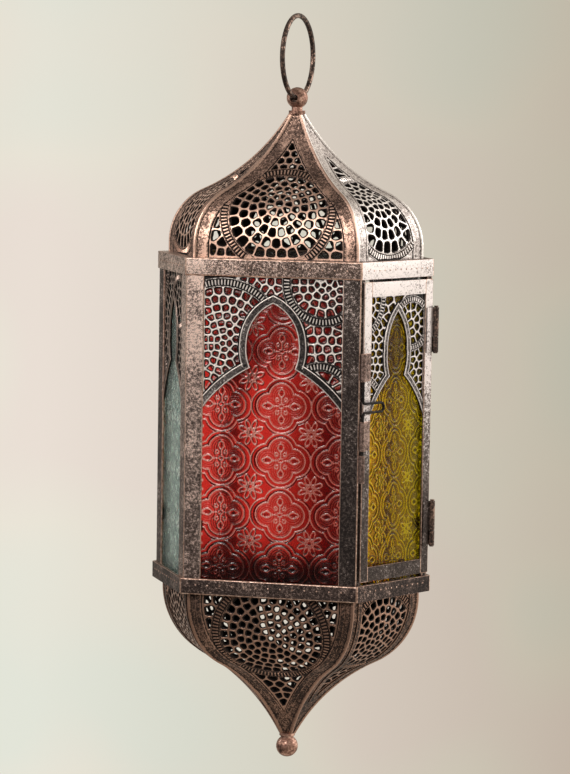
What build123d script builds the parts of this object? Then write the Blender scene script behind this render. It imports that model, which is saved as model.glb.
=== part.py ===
"""Hanging candle lantern of pierced copper sheet and coloured glass.

Six-sided body, wide at front and back, with an ogee dome above and another below, a hinged door in
the front right side and a wire bolt that latches it. Millimetres, +Z up, front towards -Y. The
origin is the inside top of the hanging ring, where the hook seats.
"""

import math
import os

from build123d import *

# Plan of the body: an elongated hexagon, measured on the top band's outer faces
wide_side = 105.0
narrow_side = 64.0
turn = 60.0

# Sheet and glass
sheet = 1.0
fret_sheet = 0.8
glass_thickness = 3.0
pane_inset = 5.5

# Hanging ring and the ball knob that carries it
ring_radius = 24.2
ring_wire = 3.0
ring_turn = 9.0
ring_play = 0.3
knob_radius = 6.3
knob_neck_radius = 3.2
knob_stand = 9.7
collar_radius = 4.9
collar_height = 2.2
spigot_radius = 1.1
spigot_length = 5.0

# Bands and the ledges that the domes sit on
top_band_height = 10.2
base_band_height = 9.5
base_band_flare = 1.2
ledge = 6.5
ledge_lip = 2.5
body_height = 178.3

# Ogee of the dome: a skirt, a bulging arc and a hollow arc up to the tip, measured at the seams
dome_height = 83.4
dome_skirt = 6.3
dome_bulge_radius = 34.2
dome_bulge_angle = 66.0
base_height = 91.2
base_skirt = 4.3
base_bulge_radius = 44.2
base_bulge_angle = 64.0
tip_reach = 4.4

# Piercing of the dome panels: rings of six-sided holes round a centre, and a few in the corners
panel_border = 8.0
panel_hole_radius = 4.5
panel_ring_step = 11.0
panel_ring_rise = 29.0
panel_ring_count = 2
panel_peak_step = 11.0
panel_peak_count = 2

# Corner posts
post_flange = 10.5
door_post_flange = 4.0

# Arch of the frets: heights below the top band, and shares of the opening's half width for the
# arch's lobe and waist, the plain trim round it and the pitch of the holes
arch_apex_drop = 16.6
arch_lobe_drop = 37.8
arch_waist_drop = 53.2
arch_foot_drop = 77.2
wide_arch_shares = (0.372, 0.319, 0.121, 0.255)
narrow_arch_shares = (0.359, 0.266, 0.160, 0.335)
hole_share = 0.40
lobe_shoulder_share = 0.74
lobe_shoulder_drop_share = 0.44
lobe_heel_share = 0.96
lobe_heel_drop_share = 0.52
flare_bow_share = 0.06
fret_hole_rows = 25

# Door
door_top_gap = 1.5
door_foot_gap = 2.0
door_latch_gap = 1.9
door_hinge_gap = 0.5
door_face_gap = 0.3
door_sheet = 1.2
door_stile = 6.5
door_rail = 8.5
door_pane_gap = 0.8
door_pane_lap = 3.5
door_arch_shift = 3.8

# Door hinges
hinge_height = 26.6
hinge_inset = 18.2
hinge_split_share = 0.66
hinge_gap = 0.3
knuckle_radius = 1.7
leaf_sheet = 0.8
leaf_width = 5.0
leaf_clearance = 0.45
hinge_out = 0.5
pin_radius = 0.8
pin_running = 0.06
pin_press = 0.03
pin_head_radius = 1.3
pin_head_height = 0.6

# Latch: a wire bolt that slides in two guides on the door and drops into a socket on the post
bolt_radius = 0.8
bolt_running = 0.08
bolt_out = 0.1
bolt_bend = 2.0
loop_length = 18.0
loop_gap = 5.3
bolt_lift = 2.4
bolt_tip_gap = 0.4
latch_drop_share = 0.414
upper_guide_rise = 31.4
upper_guide_length = 16.1
lower_guide_drop = 8.2
lower_guide_length = 16.9
socket_drop = 28.0
socket_length = 15.7
socket_play = 0.15
socket_foot = 1.25
guide_leaf_width = 5.4
bolt_head_inset = 1.5

# Floor and candle cup
floor_gap = 0.6
cup_bore = 19.6
cup_wall = 0.8
cup_height = 9.0

# Finial
finial_radius = 6.6
finial_stand = 8.1
finial_neck_radius = 3.9
finial_collar_radius = 4.7
finial_collar_height = 1.6

# Tabs that hold the panes
tab_sheet = 0.6
tab_height = 6.0
tab_foot = 3.2
tab_finger = 4.5
tab_gap = 0.2
tab_share = 0.3
door_tab_share = 0.22

overrun = 2.0

# Heights of the main joints, down from the origin
knob_z = -(2 * ring_radius - ring_wire / 2)
dome_tip_z = knob_z - knob_stand
roof_z = dome_tip_z - dome_height
lintel_z = roof_z - top_band_height
sill_z = lintel_z - body_height
base_z = sill_z - base_band_height
base_tip_z = base_z - base_height
finial_z = base_tip_z - finial_stand
pane_top_z = roof_z - sheet
pane_foot_z = base_z + sheet

# Depths in from the top band's outer faces
post_face = sheet
post_back = post_face + sheet
fret_back = post_back + fret_sheet
glass_back = fret_back + glass_thickness
lip_inset = ledge + sheet + ledge_lip
base_lip_inset = lip_inset - base_band_flare
floor_inset = glass_back + tab_sheet + floor_gap

faces = ("front", "front_right", "back_right", "back", "back_left", "front_left")
corners = ("front_left", "front_right", "right", "back_right", "back_left", "left")
half_turn = math.radians(turn / 2)
full_turn = math.radians(turn)


def plan(inset):
    """Corners of the plan, set in from the top band's outer faces, anticlockwise from front left."""
    shrink = 2 * inset * math.tan(half_turn)
    half_wide = (wide_side - shrink) / 2
    narrow = narrow_side - shrink
    depth = narrow * math.sin(full_turn)
    reach = half_wide + narrow * math.cos(full_turn)
    return [
        Vector(-half_wide, -depth),
        Vector(half_wide, -depth),
        Vector(reach, 0),
        Vector(half_wide, depth),
        Vector(-half_wide, depth),
        Vector(-reach, 0),
    ]


def side(face, inset):
    """The two corners of a side, left then right seen from outside."""
    points = plan(inset)
    start = faces.index(face)
    return points[start], points[(start + 1) % len(points)]


def side_length(face, inset):
    left, right = side(face, inset)
    return (right - left).length


def along(face):
    left, right = side(face, 0)
    return (right - left).normalized()


def outward(face):
    return along(face).cross(Vector(0, 0, 1))


def side_plane(face, inset, height):
    """A plane on a side: x along it, y up, z outward, at the middle of the side."""
    left, right = side(face, inset)
    middle = (left + right) / 2 + Vector(0, 0, height)
    return Plane(origin=middle, x_dir=along(face), z_dir=outward(face))


def is_wide(face):
    return face in ("front", "back")


def finish(builder, label):
    builder.part.label = label
    export_step(builder.part, f"parts/{label}.step")


os.makedirs("parts", exist_ok=True)

# Hanging ring: a wire ring that hangs in the knob's eye, turned a little from square
eye_line = Vector(-math.sin(math.radians(ring_turn)), -math.cos(math.radians(ring_turn)), 0)
ring_centre = Vector(0, 0, knob_z + ring_radius)
with BuildPart() as hanging_ring:
    with BuildSketch(Plane(origin=ring_centre, x_dir=eye_line, z_dir=(0, 0, 1))):
        with Locations((ring_radius, 0)):
            Circle(ring_wire / 2)
    revolve(axis=Axis(ring_centre, eye_line.cross(Vector(0, 0, 1))))
finish(hanging_ring, "hanging_ring")

# Top knob: a turned ball on a collar that closes the dome, drilled for the ring
ring_bow = ring_radius - math.sqrt(ring_radius**2 - knob_radius**2)
eye_radius = ring_wire / 2 + ring_bow + ring_play
neck_angle = math.degrees(math.acos(knob_neck_radius / knob_radius))
collar_top = dome_tip_z + collar_height
ball_foot = knob_z - knob_radius * math.sin(math.radians(neck_angle))
with BuildPart() as top_knob:
    with BuildSketch(Plane.XZ):
        with BuildLine():
            Polyline(
                (0, knob_z + knob_radius),
                (0, dome_tip_z - spigot_length),
                (spigot_radius, dome_tip_z - spigot_length),
                (spigot_radius, dome_tip_z),
                (collar_radius, dome_tip_z),
                (collar_radius, collar_top),
                (knob_neck_radius, collar_top),
                (knob_neck_radius, ball_foot),
            )
            CenterArc((0, knob_z), knob_radius, -neck_angle, neck_angle + 90)
        make_face()
    revolve(axis=Axis.Z)
    with BuildSketch(Plane(origin=(0, 0, knob_z), z_dir=eye_line)):
        Circle(eye_radius)
    extrude(amount=knob_radius + overrun, both=True, mode=Mode.SUBTRACT)
finish(top_knob, "top_knob")


def ogee(reach, apothem, skirt, bulge_radius, bulge_angle, height, deep):
    """Line of a dome panel, out from the axis and up from its foot, set in by a depth.

    The arcs are round where the seam shows them, and flattened to the panel's own distance from the
    axis, so that neighbouring panels meet along the seam.
    """
    flat_share = apothem / reach
    bend = math.radians(bulge_angle)
    pointing = Vector(math.cos(bend), math.sin(bend))
    bulge_centre = Vector(reach - bulge_radius, skirt)
    turning = bulge_centre + pointing * bulge_radius
    chord = Vector(tip_reach, height) - turning
    throat_radius = chord.dot(chord) / (2 * chord.dot(pointing))
    throat_centre = turning + pointing * throat_radius
    tip_angle = math.degrees(math.asin((throat_centre.Y - height) / throat_radius))
    past_tip = math.degrees(overrun / throat_radius)
    with BuildLine() as line:
        Line((apothem - deep, 0), (apothem - deep, skirt))
        EllipticalCenterArc(
            (bulge_centre.X * flat_share, bulge_centre.Y),
            bulge_radius * flat_share - deep,
            bulge_radius - deep,
            0,
            arc_size=bulge_angle,
        )
        EllipticalCenterArc(
            (throat_centre.X * flat_share, throat_centre.Y),
            throat_radius * flat_share + deep,
            throat_radius + deep,
            bulge_angle + 180,
            arc_size=tip_angle - bulge_angle - past_tip,
        )
    return line.line


def hole_planes(outline, face, inset, standing):
    """Planes for a panel's holes, square to the sheet: rings round a centre, then a peak above."""
    left, right = side(face, inset)
    run = along(face)
    apothem = left.dot(outward(face))
    low_share = left.dot(run) / apothem
    high_share = right.dot(run) / apothem
    wire = Wire(outline.edges())
    places = [(0, panel_ring_rise)]
    for ring in range(1, panel_ring_count + 1):
        count = 6 * ring
        for step in range(count):
            angle = 2 * math.pi * (step + ring / 2) / count
            radius = ring * panel_ring_step
            places.append((radius * math.cos(angle), panel_ring_rise + radius * math.sin(angle)))
    top = panel_ring_rise + (panel_ring_count + 1) * panel_ring_step
    places += [(0, top + row * panel_peak_step) for row in range(panel_peak_count)]
    planes = []
    for across, rise in places:
        if rise < panel_hole_radius + sheet or rise > wire.length - panel_border:
            continue
        point = wire.position_at(rise, position_mode=PositionMode.LENGTH)
        tangent = wire.tangent_at(rise, position_mode=PositionMode.LENGTH)
        middle_share = (low_share + high_share) / 2
        room = point.X * (high_share - low_share) / 2 - panel_border
        if abs(across) + panel_hole_radius > room:
            continue
        origin = standing.from_local_coords(point) + run * (point.X * middle_share + across)
        rising = standing.from_local_coords(tangent) - standing.from_local_coords(Vector(0, 0))
        planes.append(Plane(origin=origin, x_dir=run, z_dir=run.cross(rising)))
    return planes


def dome_panel(face, inset, foot_z, up, sizes):
    """One pierced panel of a dome, rising from foot_z, or hanging from it where up is -1."""
    left, right = side(face, inset)
    reach = plan(inset)[2].X
    apothem = left.dot(outward(face))
    standing = Plane(
        origin=(0, 0, foot_z),
        x_dir=outward(face),
        z_dir=outward(face).cross(Vector(0, 0, up)),
    )
    outline = ogee(reach, apothem, *sizes, 0)
    inline = ogee(reach, apothem, *sizes, sheet)
    height = sizes[-1]
    with BuildPart() as panel:
        with BuildSketch(standing):
            with BuildLine():
                add(outline)
                Line(outline @ 1, inline @ 1)
                add(inline)
                Line(inline @ 0, outline @ 0)
            make_face()
        extrude(amount=wide_side, both=True)
        with BuildSketch(Plane.XY.offset(foot_z)):
            Polygon((0, 0), left * 2, right * 2, align=None)
        extrude(amount=height * up, mode=Mode.INTERSECT)
        with BuildSketch(*hole_planes(outline, face, inset, standing)):
            RegularPolygon(panel_hole_radius, side_count=6)
        extrude(amount=2 * sheet, both=True, mode=Mode.SUBTRACT)
    return panel


def copied(source, face):
    """A finished side piece, mirrored to another side."""
    with BuildPart() as copy:
        add(source.part)
        if face.endswith("left"):
            mirror(about=Plane.YZ, mode=Mode.REPLACE)
        if face.startswith("back"):
            mirror(about=Plane.XZ, mode=Mode.REPLACE)
    return copy


# Dome and base: six pierced panels each, mitred at the seams
dome_sizes = (dome_skirt, dome_bulge_radius, dome_bulge_angle, dome_height)
base_sizes = (base_skirt, base_bulge_radius, base_bulge_angle, base_height)
base_ledge = ledge - base_band_flare
dome_wide = dome_panel("front", ledge, roof_z, 1, dome_sizes)
dome_narrow = dome_panel("front_right", ledge, roof_z, 1, dome_sizes)
base_wide = dome_panel("front", base_ledge, base_z, -1, base_sizes)
base_narrow = dome_panel("front_right", base_ledge, base_z, -1, base_sizes)
for face in faces:
    finish(copied(dome_wide if is_wide(face) else dome_narrow, face), f"dome_panel_{face}")
    finish(copied(base_wide if is_wide(face) else base_narrow, face), f"base_panel_{face}")


def band(outer, lip, foot_z, height, lip_z):
    """A band round the body, with the ledge that a dome sits on turned in at one edge."""
    with BuildPart() as strip:
        with BuildSketch(Plane.XY.offset(foot_z)):
            Polygon(*plan(outer), align=None)
            Polygon(*plan(post_face), align=None, mode=Mode.SUBTRACT)
        extrude(amount=height)
        with BuildSketch(Plane.XY.offset(lip_z)):
            Polygon(*plan(outer), align=None)
            Polygon(*plan(lip), align=None, mode=Mode.SUBTRACT)
        extrude(amount=sheet)
    return strip


finish(band(0, lip_inset, lintel_z, top_band_height, roof_z - sheet), "top_band")
finish(band(-base_band_flare, base_lip_inset, base_z, base_band_height, base_z), "base_band")


def flange_length(face):
    return door_post_flange if face == "front_right" else post_flange


# Corner posts: strips bent to the corner, one flange on each side
for index, corner in enumerate(corners):
    left_face = faces[index - 1]
    right_face = faces[index]
    outer = plan(post_face)[index]
    inner = plan(post_back)[index]
    left_end = outer - along(left_face) * flange_length(left_face)
    right_end = outer + along(right_face) * flange_length(right_face)
    with BuildPart() as post:
        with BuildSketch(Plane.XY.offset(pane_foot_z)):
            with BuildLine():
                Polyline(
                    left_end,
                    outer,
                    right_end,
                    right_end - outward(right_face) * sheet,
                    inner,
                    left_end - outward(left_face) * sheet,
                    close=True,
                )
            make_face()
        extrude(amount=pane_top_z - pane_foot_z)
    finish(post, f"post_{corner}")


def arch_line(lobe, waist, foot, shift, grow):
    """Right half of an arch, from its apex down and out to the side edge, grown by a trim width.

    Heights are down from the top band's lower edge.
    """
    apex = Vector(0, -(arch_apex_drop + shift) + grow)
    wide = Vector(lobe + grow, -(arch_lobe_drop + shift))
    nip = Vector(waist + grow, -(arch_waist_drop + shift) + grow * math.tan(half_turn))
    toe = Vector(foot, -(arch_foot_drop + shift) + grow / math.cos(half_turn + half_turn / 2))
    shoulder = Vector(
        wide.X * lobe_shoulder_share,
        apex.Y + (wide.Y - apex.Y) * lobe_shoulder_drop_share,
    )
    heel = Vector(
        nip.X + (wide.X - nip.X) * lobe_heel_share,
        wide.Y + (nip.Y - wide.Y) * lobe_heel_drop_share,
    )
    flare = toe - nip
    bow = (nip + toe) / 2 + Vector(-flare.Y, flare.X).normalized() * flare.length * flare_bow_share
    with BuildLine() as line:
        ThreePointArc(apex, shoulder, wide)
        ThreePointArc(wide, heel, nip)
        ThreePointArc(nip, bow, toe)
    return line.line


def hole_spots(border, opening, top, radius, pitch):
    """Places for a fret's holes: a honeycomb kept clear of the trim, the posts and the top."""
    with BuildSketch(mode=Mode.PRIVATE) as field:
        with BuildLine():
            add(border)
            Polyline(border @ 1, (opening, top), (0, top), border @ 0)
        make_face()
        mirror(about=Plane.YZ)
    area = field.sketch.faces()[0]
    edges = area.edges()
    spots = []
    for cell in HexLocations(pitch / 2, fret_hole_rows, fret_hole_rows).local_locations:
        spot = cell.position + Vector(0, top - pitch)
        if area.is_inside(spot) and min(edge.distance_to(spot) for edge in edges) > radius:
            spots.append(spot)
    return spots


def fret(plane, half_width, opening, plate_top, field_top, shift, shares):
    """A pierced arch plate: plane has its zero height at the top band's lower edge."""
    lobe, waist, trim, hole_pitch = [opening * share for share in shares]
    hole_radius = hole_pitch * hole_share
    arch = arch_line(lobe, waist, opening, shift, 0)
    border = arch_line(lobe, waist, opening, shift, trim)
    spots = hole_spots(border, opening, field_top, hole_radius, hole_pitch)
    toe = arch @ 1
    with BuildPart() as plate:
        with BuildSketch(plane):
            with BuildLine():
                add(arch)
                Polyline(
                    toe,
                    (half_width, toe.Y - (half_width - opening)),
                    (half_width, plate_top),
                    (0, plate_top),
                    arch @ 0,
                )
            make_face()
            mirror(about=Plane.YZ)
            with Locations(*spots):
                RegularPolygon(hole_radius, side_count=6, mode=Mode.SUBTRACT)
        extrude(amount=fret_sheet)
    return plate


def pane(plane, half_width, height):
    """A pane of glass standing on the plane's zero height."""
    with BuildPart() as glass:
        with BuildSketch(plane):
            Rectangle(2 * half_width, height, align=(Align.CENTER, Align.MIN))
        extrude(amount=glass_thickness)
    return glass


# Frets and panes of the fixed sides
frets = {}
panes = {}
for face, shares in (("front", wide_arch_shares), ("front_right", narrow_arch_shares)):
    half_width = side_length(face, post_back) / 2 - pane_inset
    opening = side_length(face, post_face) / 2 - post_flange
    fret_plane = side_plane(face, fret_back, lintel_z)
    frets[face] = fret(fret_plane, half_width, opening, pane_top_z - lintel_z, 0, 0, shares)
    panes[face] = pane(side_plane(face, glass_back, pane_foot_z), half_width, pane_top_z - pane_foot_z)
fixed_faces = [face for face in faces if face != "front_right"]
for face in fixed_faces:
    source = "front" if is_wide(face) else "front_right"
    finish(copied(frets[source], face), f"fret_{face}")
    finish(copied(panes[source], face), f"glass_{face}")


def tab_points(wall):
    """Section of a bent tab: a foot on the metal, a wall past the pane, a finger behind it.

    Across from the pane's edge, and in from the metal that carries it, which is wall deep.
    """
    out = tab_gap + tab_sheet
    return (
        (-out - tab_foot, 0),
        (-tab_gap, 0),
        (-tab_gap, wall),
        (tab_finger, wall),
        (tab_finger, wall + tab_sheet),
        (-out, wall + tab_sheet),
        (-out, tab_sheet),
        (-out - tab_foot, tab_sheet),
    )


# Tabs that hold the fixed panes in the posts
pane_middle_z = (pane_top_z + pane_foot_z) / 2
tab_step = (pane_top_z - pane_foot_z) * tab_share
with BuildPart() as pane_tabs:
    for face in fixed_faces:
        left, right = side(face, post_back)
        for height in (pane_middle_z - tab_step, pane_middle_z + tab_step):
            for end, run in ((left, along(face)), (right, -along(face))):
                with BuildSketch(Plane.XY.offset(height - tab_height / 2)):
                    spots = [
                        end + run * (pane_inset + across) - outward(face) * deep
                        for across, deep in tab_points(glass_back - post_back)
                    ]
                    Polygon(*spots, align=None)
                extrude(amount=tab_height)
finish(pane_tabs, "pane_tabs")

# Floor plate on the base band's ledge, and the candle cup on it
floor_z = pane_foot_z + sheet
with BuildPart() as floor_plate:
    with BuildSketch(Plane.XY.offset(pane_foot_z)):
        Polygon(*plan(floor_inset), align=None)
    extrude(amount=sheet)
finish(floor_plate, "floor_plate")

with BuildPart() as candle_cup:
    with BuildSketch(Plane.XZ):
        with BuildLine():
            Polyline(
                (0, floor_z),
                (cup_bore + cup_wall, floor_z),
                (cup_bore + cup_wall, floor_z + cup_height),
                (cup_bore, floor_z + cup_height),
                (cup_bore, floor_z + cup_wall),
                (0, floor_z + cup_wall),
                close=True,
            )
        make_face()
    revolve(axis=Axis.Z)
finish(candle_cup, "candle_cup")

# Finial: a turned ball on a collar that closes the base
finial_angle = math.degrees(math.acos(finial_neck_radius / finial_radius))
finial_collar_z = base_tip_z - finial_collar_height
finial_ball_z = finial_z + finial_radius * math.sin(math.radians(finial_angle))
with BuildPart() as finial:
    with BuildSketch(Plane.XZ):
        with BuildLine():
            Polyline(
                (0, finial_z - finial_radius),
                (0, base_tip_z + spigot_length),
                (spigot_radius, base_tip_z + spigot_length),
                (spigot_radius, base_tip_z),
                (finial_collar_radius, base_tip_z),
                (finial_collar_radius, finial_collar_z),
                (finial_neck_radius, finial_collar_z),
                (finial_neck_radius, finial_ball_z),
            )
            CenterArc((0, finial_z), finial_radius, finial_angle, -finial_angle - 90)
        make_face()
    revolve(axis=Axis.Z)
finish(finial, "finial")

# Door: an overlay frame on the front right side. Across is from its left post's corner, out from
# the posts' faces.
door_face = "front_right"
door_side = side_length(door_face, post_face)
door_corner = side(door_face, post_face)[0]
door_left = door_latch_gap
door_right = door_side - door_hinge_gap
door_middle = (door_left + door_right) / 2
door_opening = (door_right - door_left) / 2 - door_stile
door_half = door_side - door_post_flange - door_pane_gap - door_middle
door_top_z = lintel_z - door_top_gap
door_foot_z = sill_z + door_foot_gap
door_front = door_face_gap + door_sheet
door_pane_top_z = door_top_z - door_rail + door_pane_lap
door_pane_foot_z = door_foot_z + door_rail - door_pane_lap


def door_plane(across, out, height):
    """A plane on the door: x along it, y up, z outward."""
    origin = door_corner + along(door_face) * across + outward(door_face) * out + Vector(0, 0, height)
    return Plane(origin=origin, x_dir=along(door_face), z_dir=outward(door_face))


def door_strip(left, right, foot, top):
    with BuildPart() as strip:
        with BuildSketch(door_plane(left, door_face_gap, foot)):
            Rectangle(right - left, top - foot, align=(Align.MIN, Align.MIN))
        extrude(amount=door_sheet)
    return strip


rail_left = door_left + door_stile
rail_right = door_right - door_stile
finish(door_strip(door_left, rail_left, door_foot_z, door_top_z), "door_stile_latch")
finish(door_strip(rail_right, door_right, door_foot_z, door_top_z), "door_stile_hinge")
finish(door_strip(rail_left, rail_right, door_top_z - door_rail, door_top_z), "door_rail_top")
finish(door_strip(rail_left, rail_right, door_foot_z, door_foot_z + door_rail), "door_rail_bottom")

door_fret = fret(
    door_plane(door_middle, door_face_gap - fret_sheet, lintel_z),
    door_half,
    door_opening,
    door_pane_top_z - lintel_z,
    door_top_z - door_rail - lintel_z,
    door_arch_shift,
    narrow_arch_shares,
)
finish(door_fret, "door_fret")
door_glass_back = fret_sheet + glass_thickness
door_glass = pane(
    door_plane(door_middle, door_face_gap - door_glass_back, door_pane_foot_z),
    door_half,
    door_pane_top_z - door_pane_foot_z,
)
finish(door_glass, "door_glass")

# Tabs that hold the door's pane, on the backs of its rails
with BuildPart() as door_tabs:
    for edge, toward in ((door_pane_top_z, -1), (door_pane_foot_z, 1)):
        for step in (-door_tab_share, door_tab_share):
            across = door_middle + 2 * door_half * step
            upright = Plane(
                origin=door_plane(across, door_face_gap, edge).origin,
                x_dir=Vector(0, 0, toward),
                z_dir=along(door_face) * -toward,
            )
            with BuildSketch(upright):
                Polygon(*tab_points(door_glass_back), align=None)
            extrude(amount=tab_height / 2, both=True)
finish(door_tabs, "door_tabs")


def plan_plane(face, inset, end, height):
    """A level plane at a side's left or right corner: x along the side, y inward."""
    corner = side(face, inset)[end]
    return Plane(origin=corner + Vector(0, 0, height), x_dir=along(face), z_dir=(0, 0, 1))


def box_points(left, right, near, far):
    return (left, near), (right, near), (right, far), (left, far)


# Door hinges: the long knuckle is on the door's leaf, the short one on the post's leaf
hinge_across = door_side + hinge_out
hinge_stand = door_front + knuckle_radius
hinge_line = plan_plane(door_face, post_face, 0, 0)
pivot = hinge_line.from_local_coords(Vector(hinge_across, -hinge_stand))
back_plane = plan_plane("back_right", post_face, 0, 0)
neck_foot = leaf_clearance + leaf_sheet / 2
pivot_back = back_plane.to_local_coords(pivot)
neck_head = pivot_back + Vector(knuckle_radius - leaf_sheet / 8, 0)
hinge_feet = {"upper": lintel_z - hinge_inset - hinge_height, "lower": sill_z + hinge_inset}
for name, foot_z in hinge_feet.items():
    top_z = foot_z + hinge_height
    split_z = top_z - hinge_height * hinge_split_share
    with BuildPart() as door_leaf:
        with BuildSketch(plan_plane(door_face, post_face, 0, split_z + hinge_gap / 2)):
            with Locations((hinge_across, -hinge_stand)):
                Circle(knuckle_radius)
            Polygon(
                *box_points(
                    hinge_across - knuckle_radius - leaf_width,
                    hinge_across,
                    -door_front,
                    -door_front - leaf_sheet,
                ),
                align=None,
            )
            with Locations((hinge_across, -hinge_stand)):
                Circle(pin_radius + pin_running, mode=Mode.SUBTRACT)
        extrude(amount=top_z - split_z - hinge_gap / 2)
        with BuildSketch(plan_plane(door_face, post_face, 0, foot_z)):
            Polygon(
                *box_points(
                    hinge_across - knuckle_radius - leaf_width,
                    hinge_across - knuckle_radius - leaf_clearance,
                    -door_front,
                    -door_front - leaf_sheet,
                ),
                align=None,
            )
        extrude(amount=split_z + hinge_gap / 2 - foot_z)
    finish(door_leaf, f"hinge_door_leaf_{name}")

    with BuildPart() as post_leaf:
        with BuildSketch(plan_plane("back_right", post_face, 0, foot_z)):
            with Locations(pivot_back):
                Circle(knuckle_radius)
            Polygon(
                (neck_foot, 0),
                (neck_foot + leaf_width, 0),
                (neck_foot + leaf_width, -leaf_sheet),
                (neck_foot + leaf_sheet / 2, -leaf_sheet),
                neck_head - Vector(0, leaf_sheet / 2),
                neck_head + Vector(0, leaf_sheet / 2),
                align=None,
            )
            with Locations(pivot_back):
                Circle(pin_radius + pin_press, mode=Mode.SUBTRACT)
        extrude(amount=split_z - hinge_gap / 2 - foot_z)
        with BuildSketch(plan_plane("back_right", post_face, 0, foot_z)):
            Polygon(*box_points(neck_foot, neck_foot + leaf_width, 0, -leaf_sheet), align=None)
        extrude(amount=hinge_height)
    finish(post_leaf, f"hinge_post_leaf_{name}")

with BuildPart() as hinge_pins:
    for foot_z in hinge_feet.values():
        top_z = foot_z + hinge_height + hinge_gap
        with BuildSketch(Plane(origin=pivot + Vector(0, 0, foot_z))):
            Circle(pin_radius)
        extrude(amount=top_z - foot_z)
        for height, reach in ((foot_z, -pin_head_height), (top_z, pin_head_height)):
            with BuildSketch(Plane(origin=pivot + Vector(0, 0, height))):
                Circle(pin_head_radius)
            extrude(amount=reach)
finish(hinge_pins, "hinge_pins")

# Latch: two guides on the door's latch stile and a socket on the post below them
bolt_line = (-bolt_out, -hinge_stand)
latch_z = lintel_z - body_height * latch_drop_share
upper_guide_z = latch_z + upper_guide_rise
lower_guide_z = latch_z - lower_guide_drop
socket_z = latch_z - socket_drop
for name, top_z, length in (
    ("upper", upper_guide_z, upper_guide_length),
    ("lower", lower_guide_z, lower_guide_length),
):
    with BuildPart() as guide:
        with BuildSketch(plan_plane(door_face, post_face, 0, top_z - length)):
            with Locations(bolt_line):
                Circle(knuckle_radius)
            Polygon(
                *box_points(
                    -bolt_out,
                    door_left + guide_leaf_width,
                    -door_front,
                    -door_front - leaf_sheet,
                ),
                align=None,
            )
            with Locations(bolt_line):
                Circle(bolt_radius + bolt_running, mode=Mode.SUBTRACT)
        extrude(amount=length)
    finish(guide, f"latch_guide_{name}")

with BuildPart() as latch_socket:
    with BuildSketch(plan_plane(door_face, post_face, 0, socket_z - socket_length)):
        with Locations(bolt_line):
            Circle(knuckle_radius)
        Polygon(*box_points(0, socket_foot, 0, -door_front - leaf_sheet), align=None)
        with Locations(bolt_line):
            Circle(bolt_radius + socket_play, mode=Mode.SUBTRACT)
    extrude(amount=socket_length)
finish(latch_socket, "latch_socket")

# Bolt: a bent wire with a finger loop, drawn raised clear of the socket so that the door is free
loop_z = latch_z + bolt_lift
loop_foot_z = loop_z - loop_gap
bolt_top_z = upper_guide_z - bolt_head_inset
bolt_tip_z = socket_z + bolt_tip_gap
bend_across = bolt_bend - bolt_out
loop_end = loop_length - bolt_out - loop_gap / 2
bolt_plane = door_plane(0, hinge_stand, 0)
with BuildPart() as latch_bolt:
    with BuildLine(bolt_plane) as bolt_path:
        Line((-bolt_out, bolt_top_z), (-bolt_out, loop_z + bolt_bend))
        CenterArc((bend_across, loop_z + bolt_bend), bolt_bend, 180, 90)
        Line((bend_across, loop_z), (loop_end, loop_z))
        CenterArc((loop_end, (loop_z + loop_foot_z) / 2), loop_gap / 2, 90, -180)
        Line((loop_end, loop_foot_z), (bend_across, loop_foot_z))
        CenterArc((bend_across, loop_foot_z - bolt_bend), bolt_bend, 90, 90)
        Line((-bolt_out, loop_foot_z - bolt_bend), (-bolt_out, bolt_tip_z))
    with BuildSketch(Plane(origin=bolt_path.line @ 0, z_dir=(0, 0, -1))):
        Circle(bolt_radius)
    sweep()
finish(latch_bolt, "latch_bolt")
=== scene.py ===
# %% [markdown]
# # A pierced copper lantern with coloured glass
#
# The lantern is folded and cast sheet: a six-sided body that is wide at front and back, an ogee dome
# above and another below, pierced all over like lace. Figured glass stands behind the pierced arches.
# The construction model gives every piece its place, so it is loaded first as a fixed frame. Pieces
# whose shape is already right keep their mesh and get a finish. The lace and the glass are made anew,
# because their beauty is in relief that a construction model leaves out.

import math

import bpy
import numpy as np
from mathutils import Matrix, Vector
from mathutils.geometry import delaunay_2d_cdt


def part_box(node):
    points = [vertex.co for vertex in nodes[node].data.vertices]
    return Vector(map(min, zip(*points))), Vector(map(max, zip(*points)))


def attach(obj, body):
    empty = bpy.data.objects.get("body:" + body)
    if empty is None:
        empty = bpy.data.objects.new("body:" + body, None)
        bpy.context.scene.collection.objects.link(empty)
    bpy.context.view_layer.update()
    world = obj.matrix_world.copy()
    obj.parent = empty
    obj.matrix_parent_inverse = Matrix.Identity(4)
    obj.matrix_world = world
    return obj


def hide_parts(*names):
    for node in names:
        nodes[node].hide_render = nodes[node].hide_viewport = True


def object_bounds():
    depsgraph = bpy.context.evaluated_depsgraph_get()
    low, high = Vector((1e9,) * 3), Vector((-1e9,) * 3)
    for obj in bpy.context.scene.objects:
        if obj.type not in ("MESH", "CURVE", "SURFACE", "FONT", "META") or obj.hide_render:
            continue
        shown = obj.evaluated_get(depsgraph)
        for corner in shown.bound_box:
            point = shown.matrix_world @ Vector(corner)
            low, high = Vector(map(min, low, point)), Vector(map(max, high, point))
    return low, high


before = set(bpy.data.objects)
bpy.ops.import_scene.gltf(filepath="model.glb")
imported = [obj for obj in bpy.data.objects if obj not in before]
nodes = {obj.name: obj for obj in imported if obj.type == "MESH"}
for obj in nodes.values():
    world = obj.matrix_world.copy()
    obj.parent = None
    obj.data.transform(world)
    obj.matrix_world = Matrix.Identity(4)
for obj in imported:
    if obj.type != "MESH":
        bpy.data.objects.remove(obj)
cad_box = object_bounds()
scene = bpy.context.scene
scene.view_settings.view_transform = "Standard"
MM = 0.001
print("nodes", len(nodes), "box", [round(v, 4) for corner in cad_box for v in corner])

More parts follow.
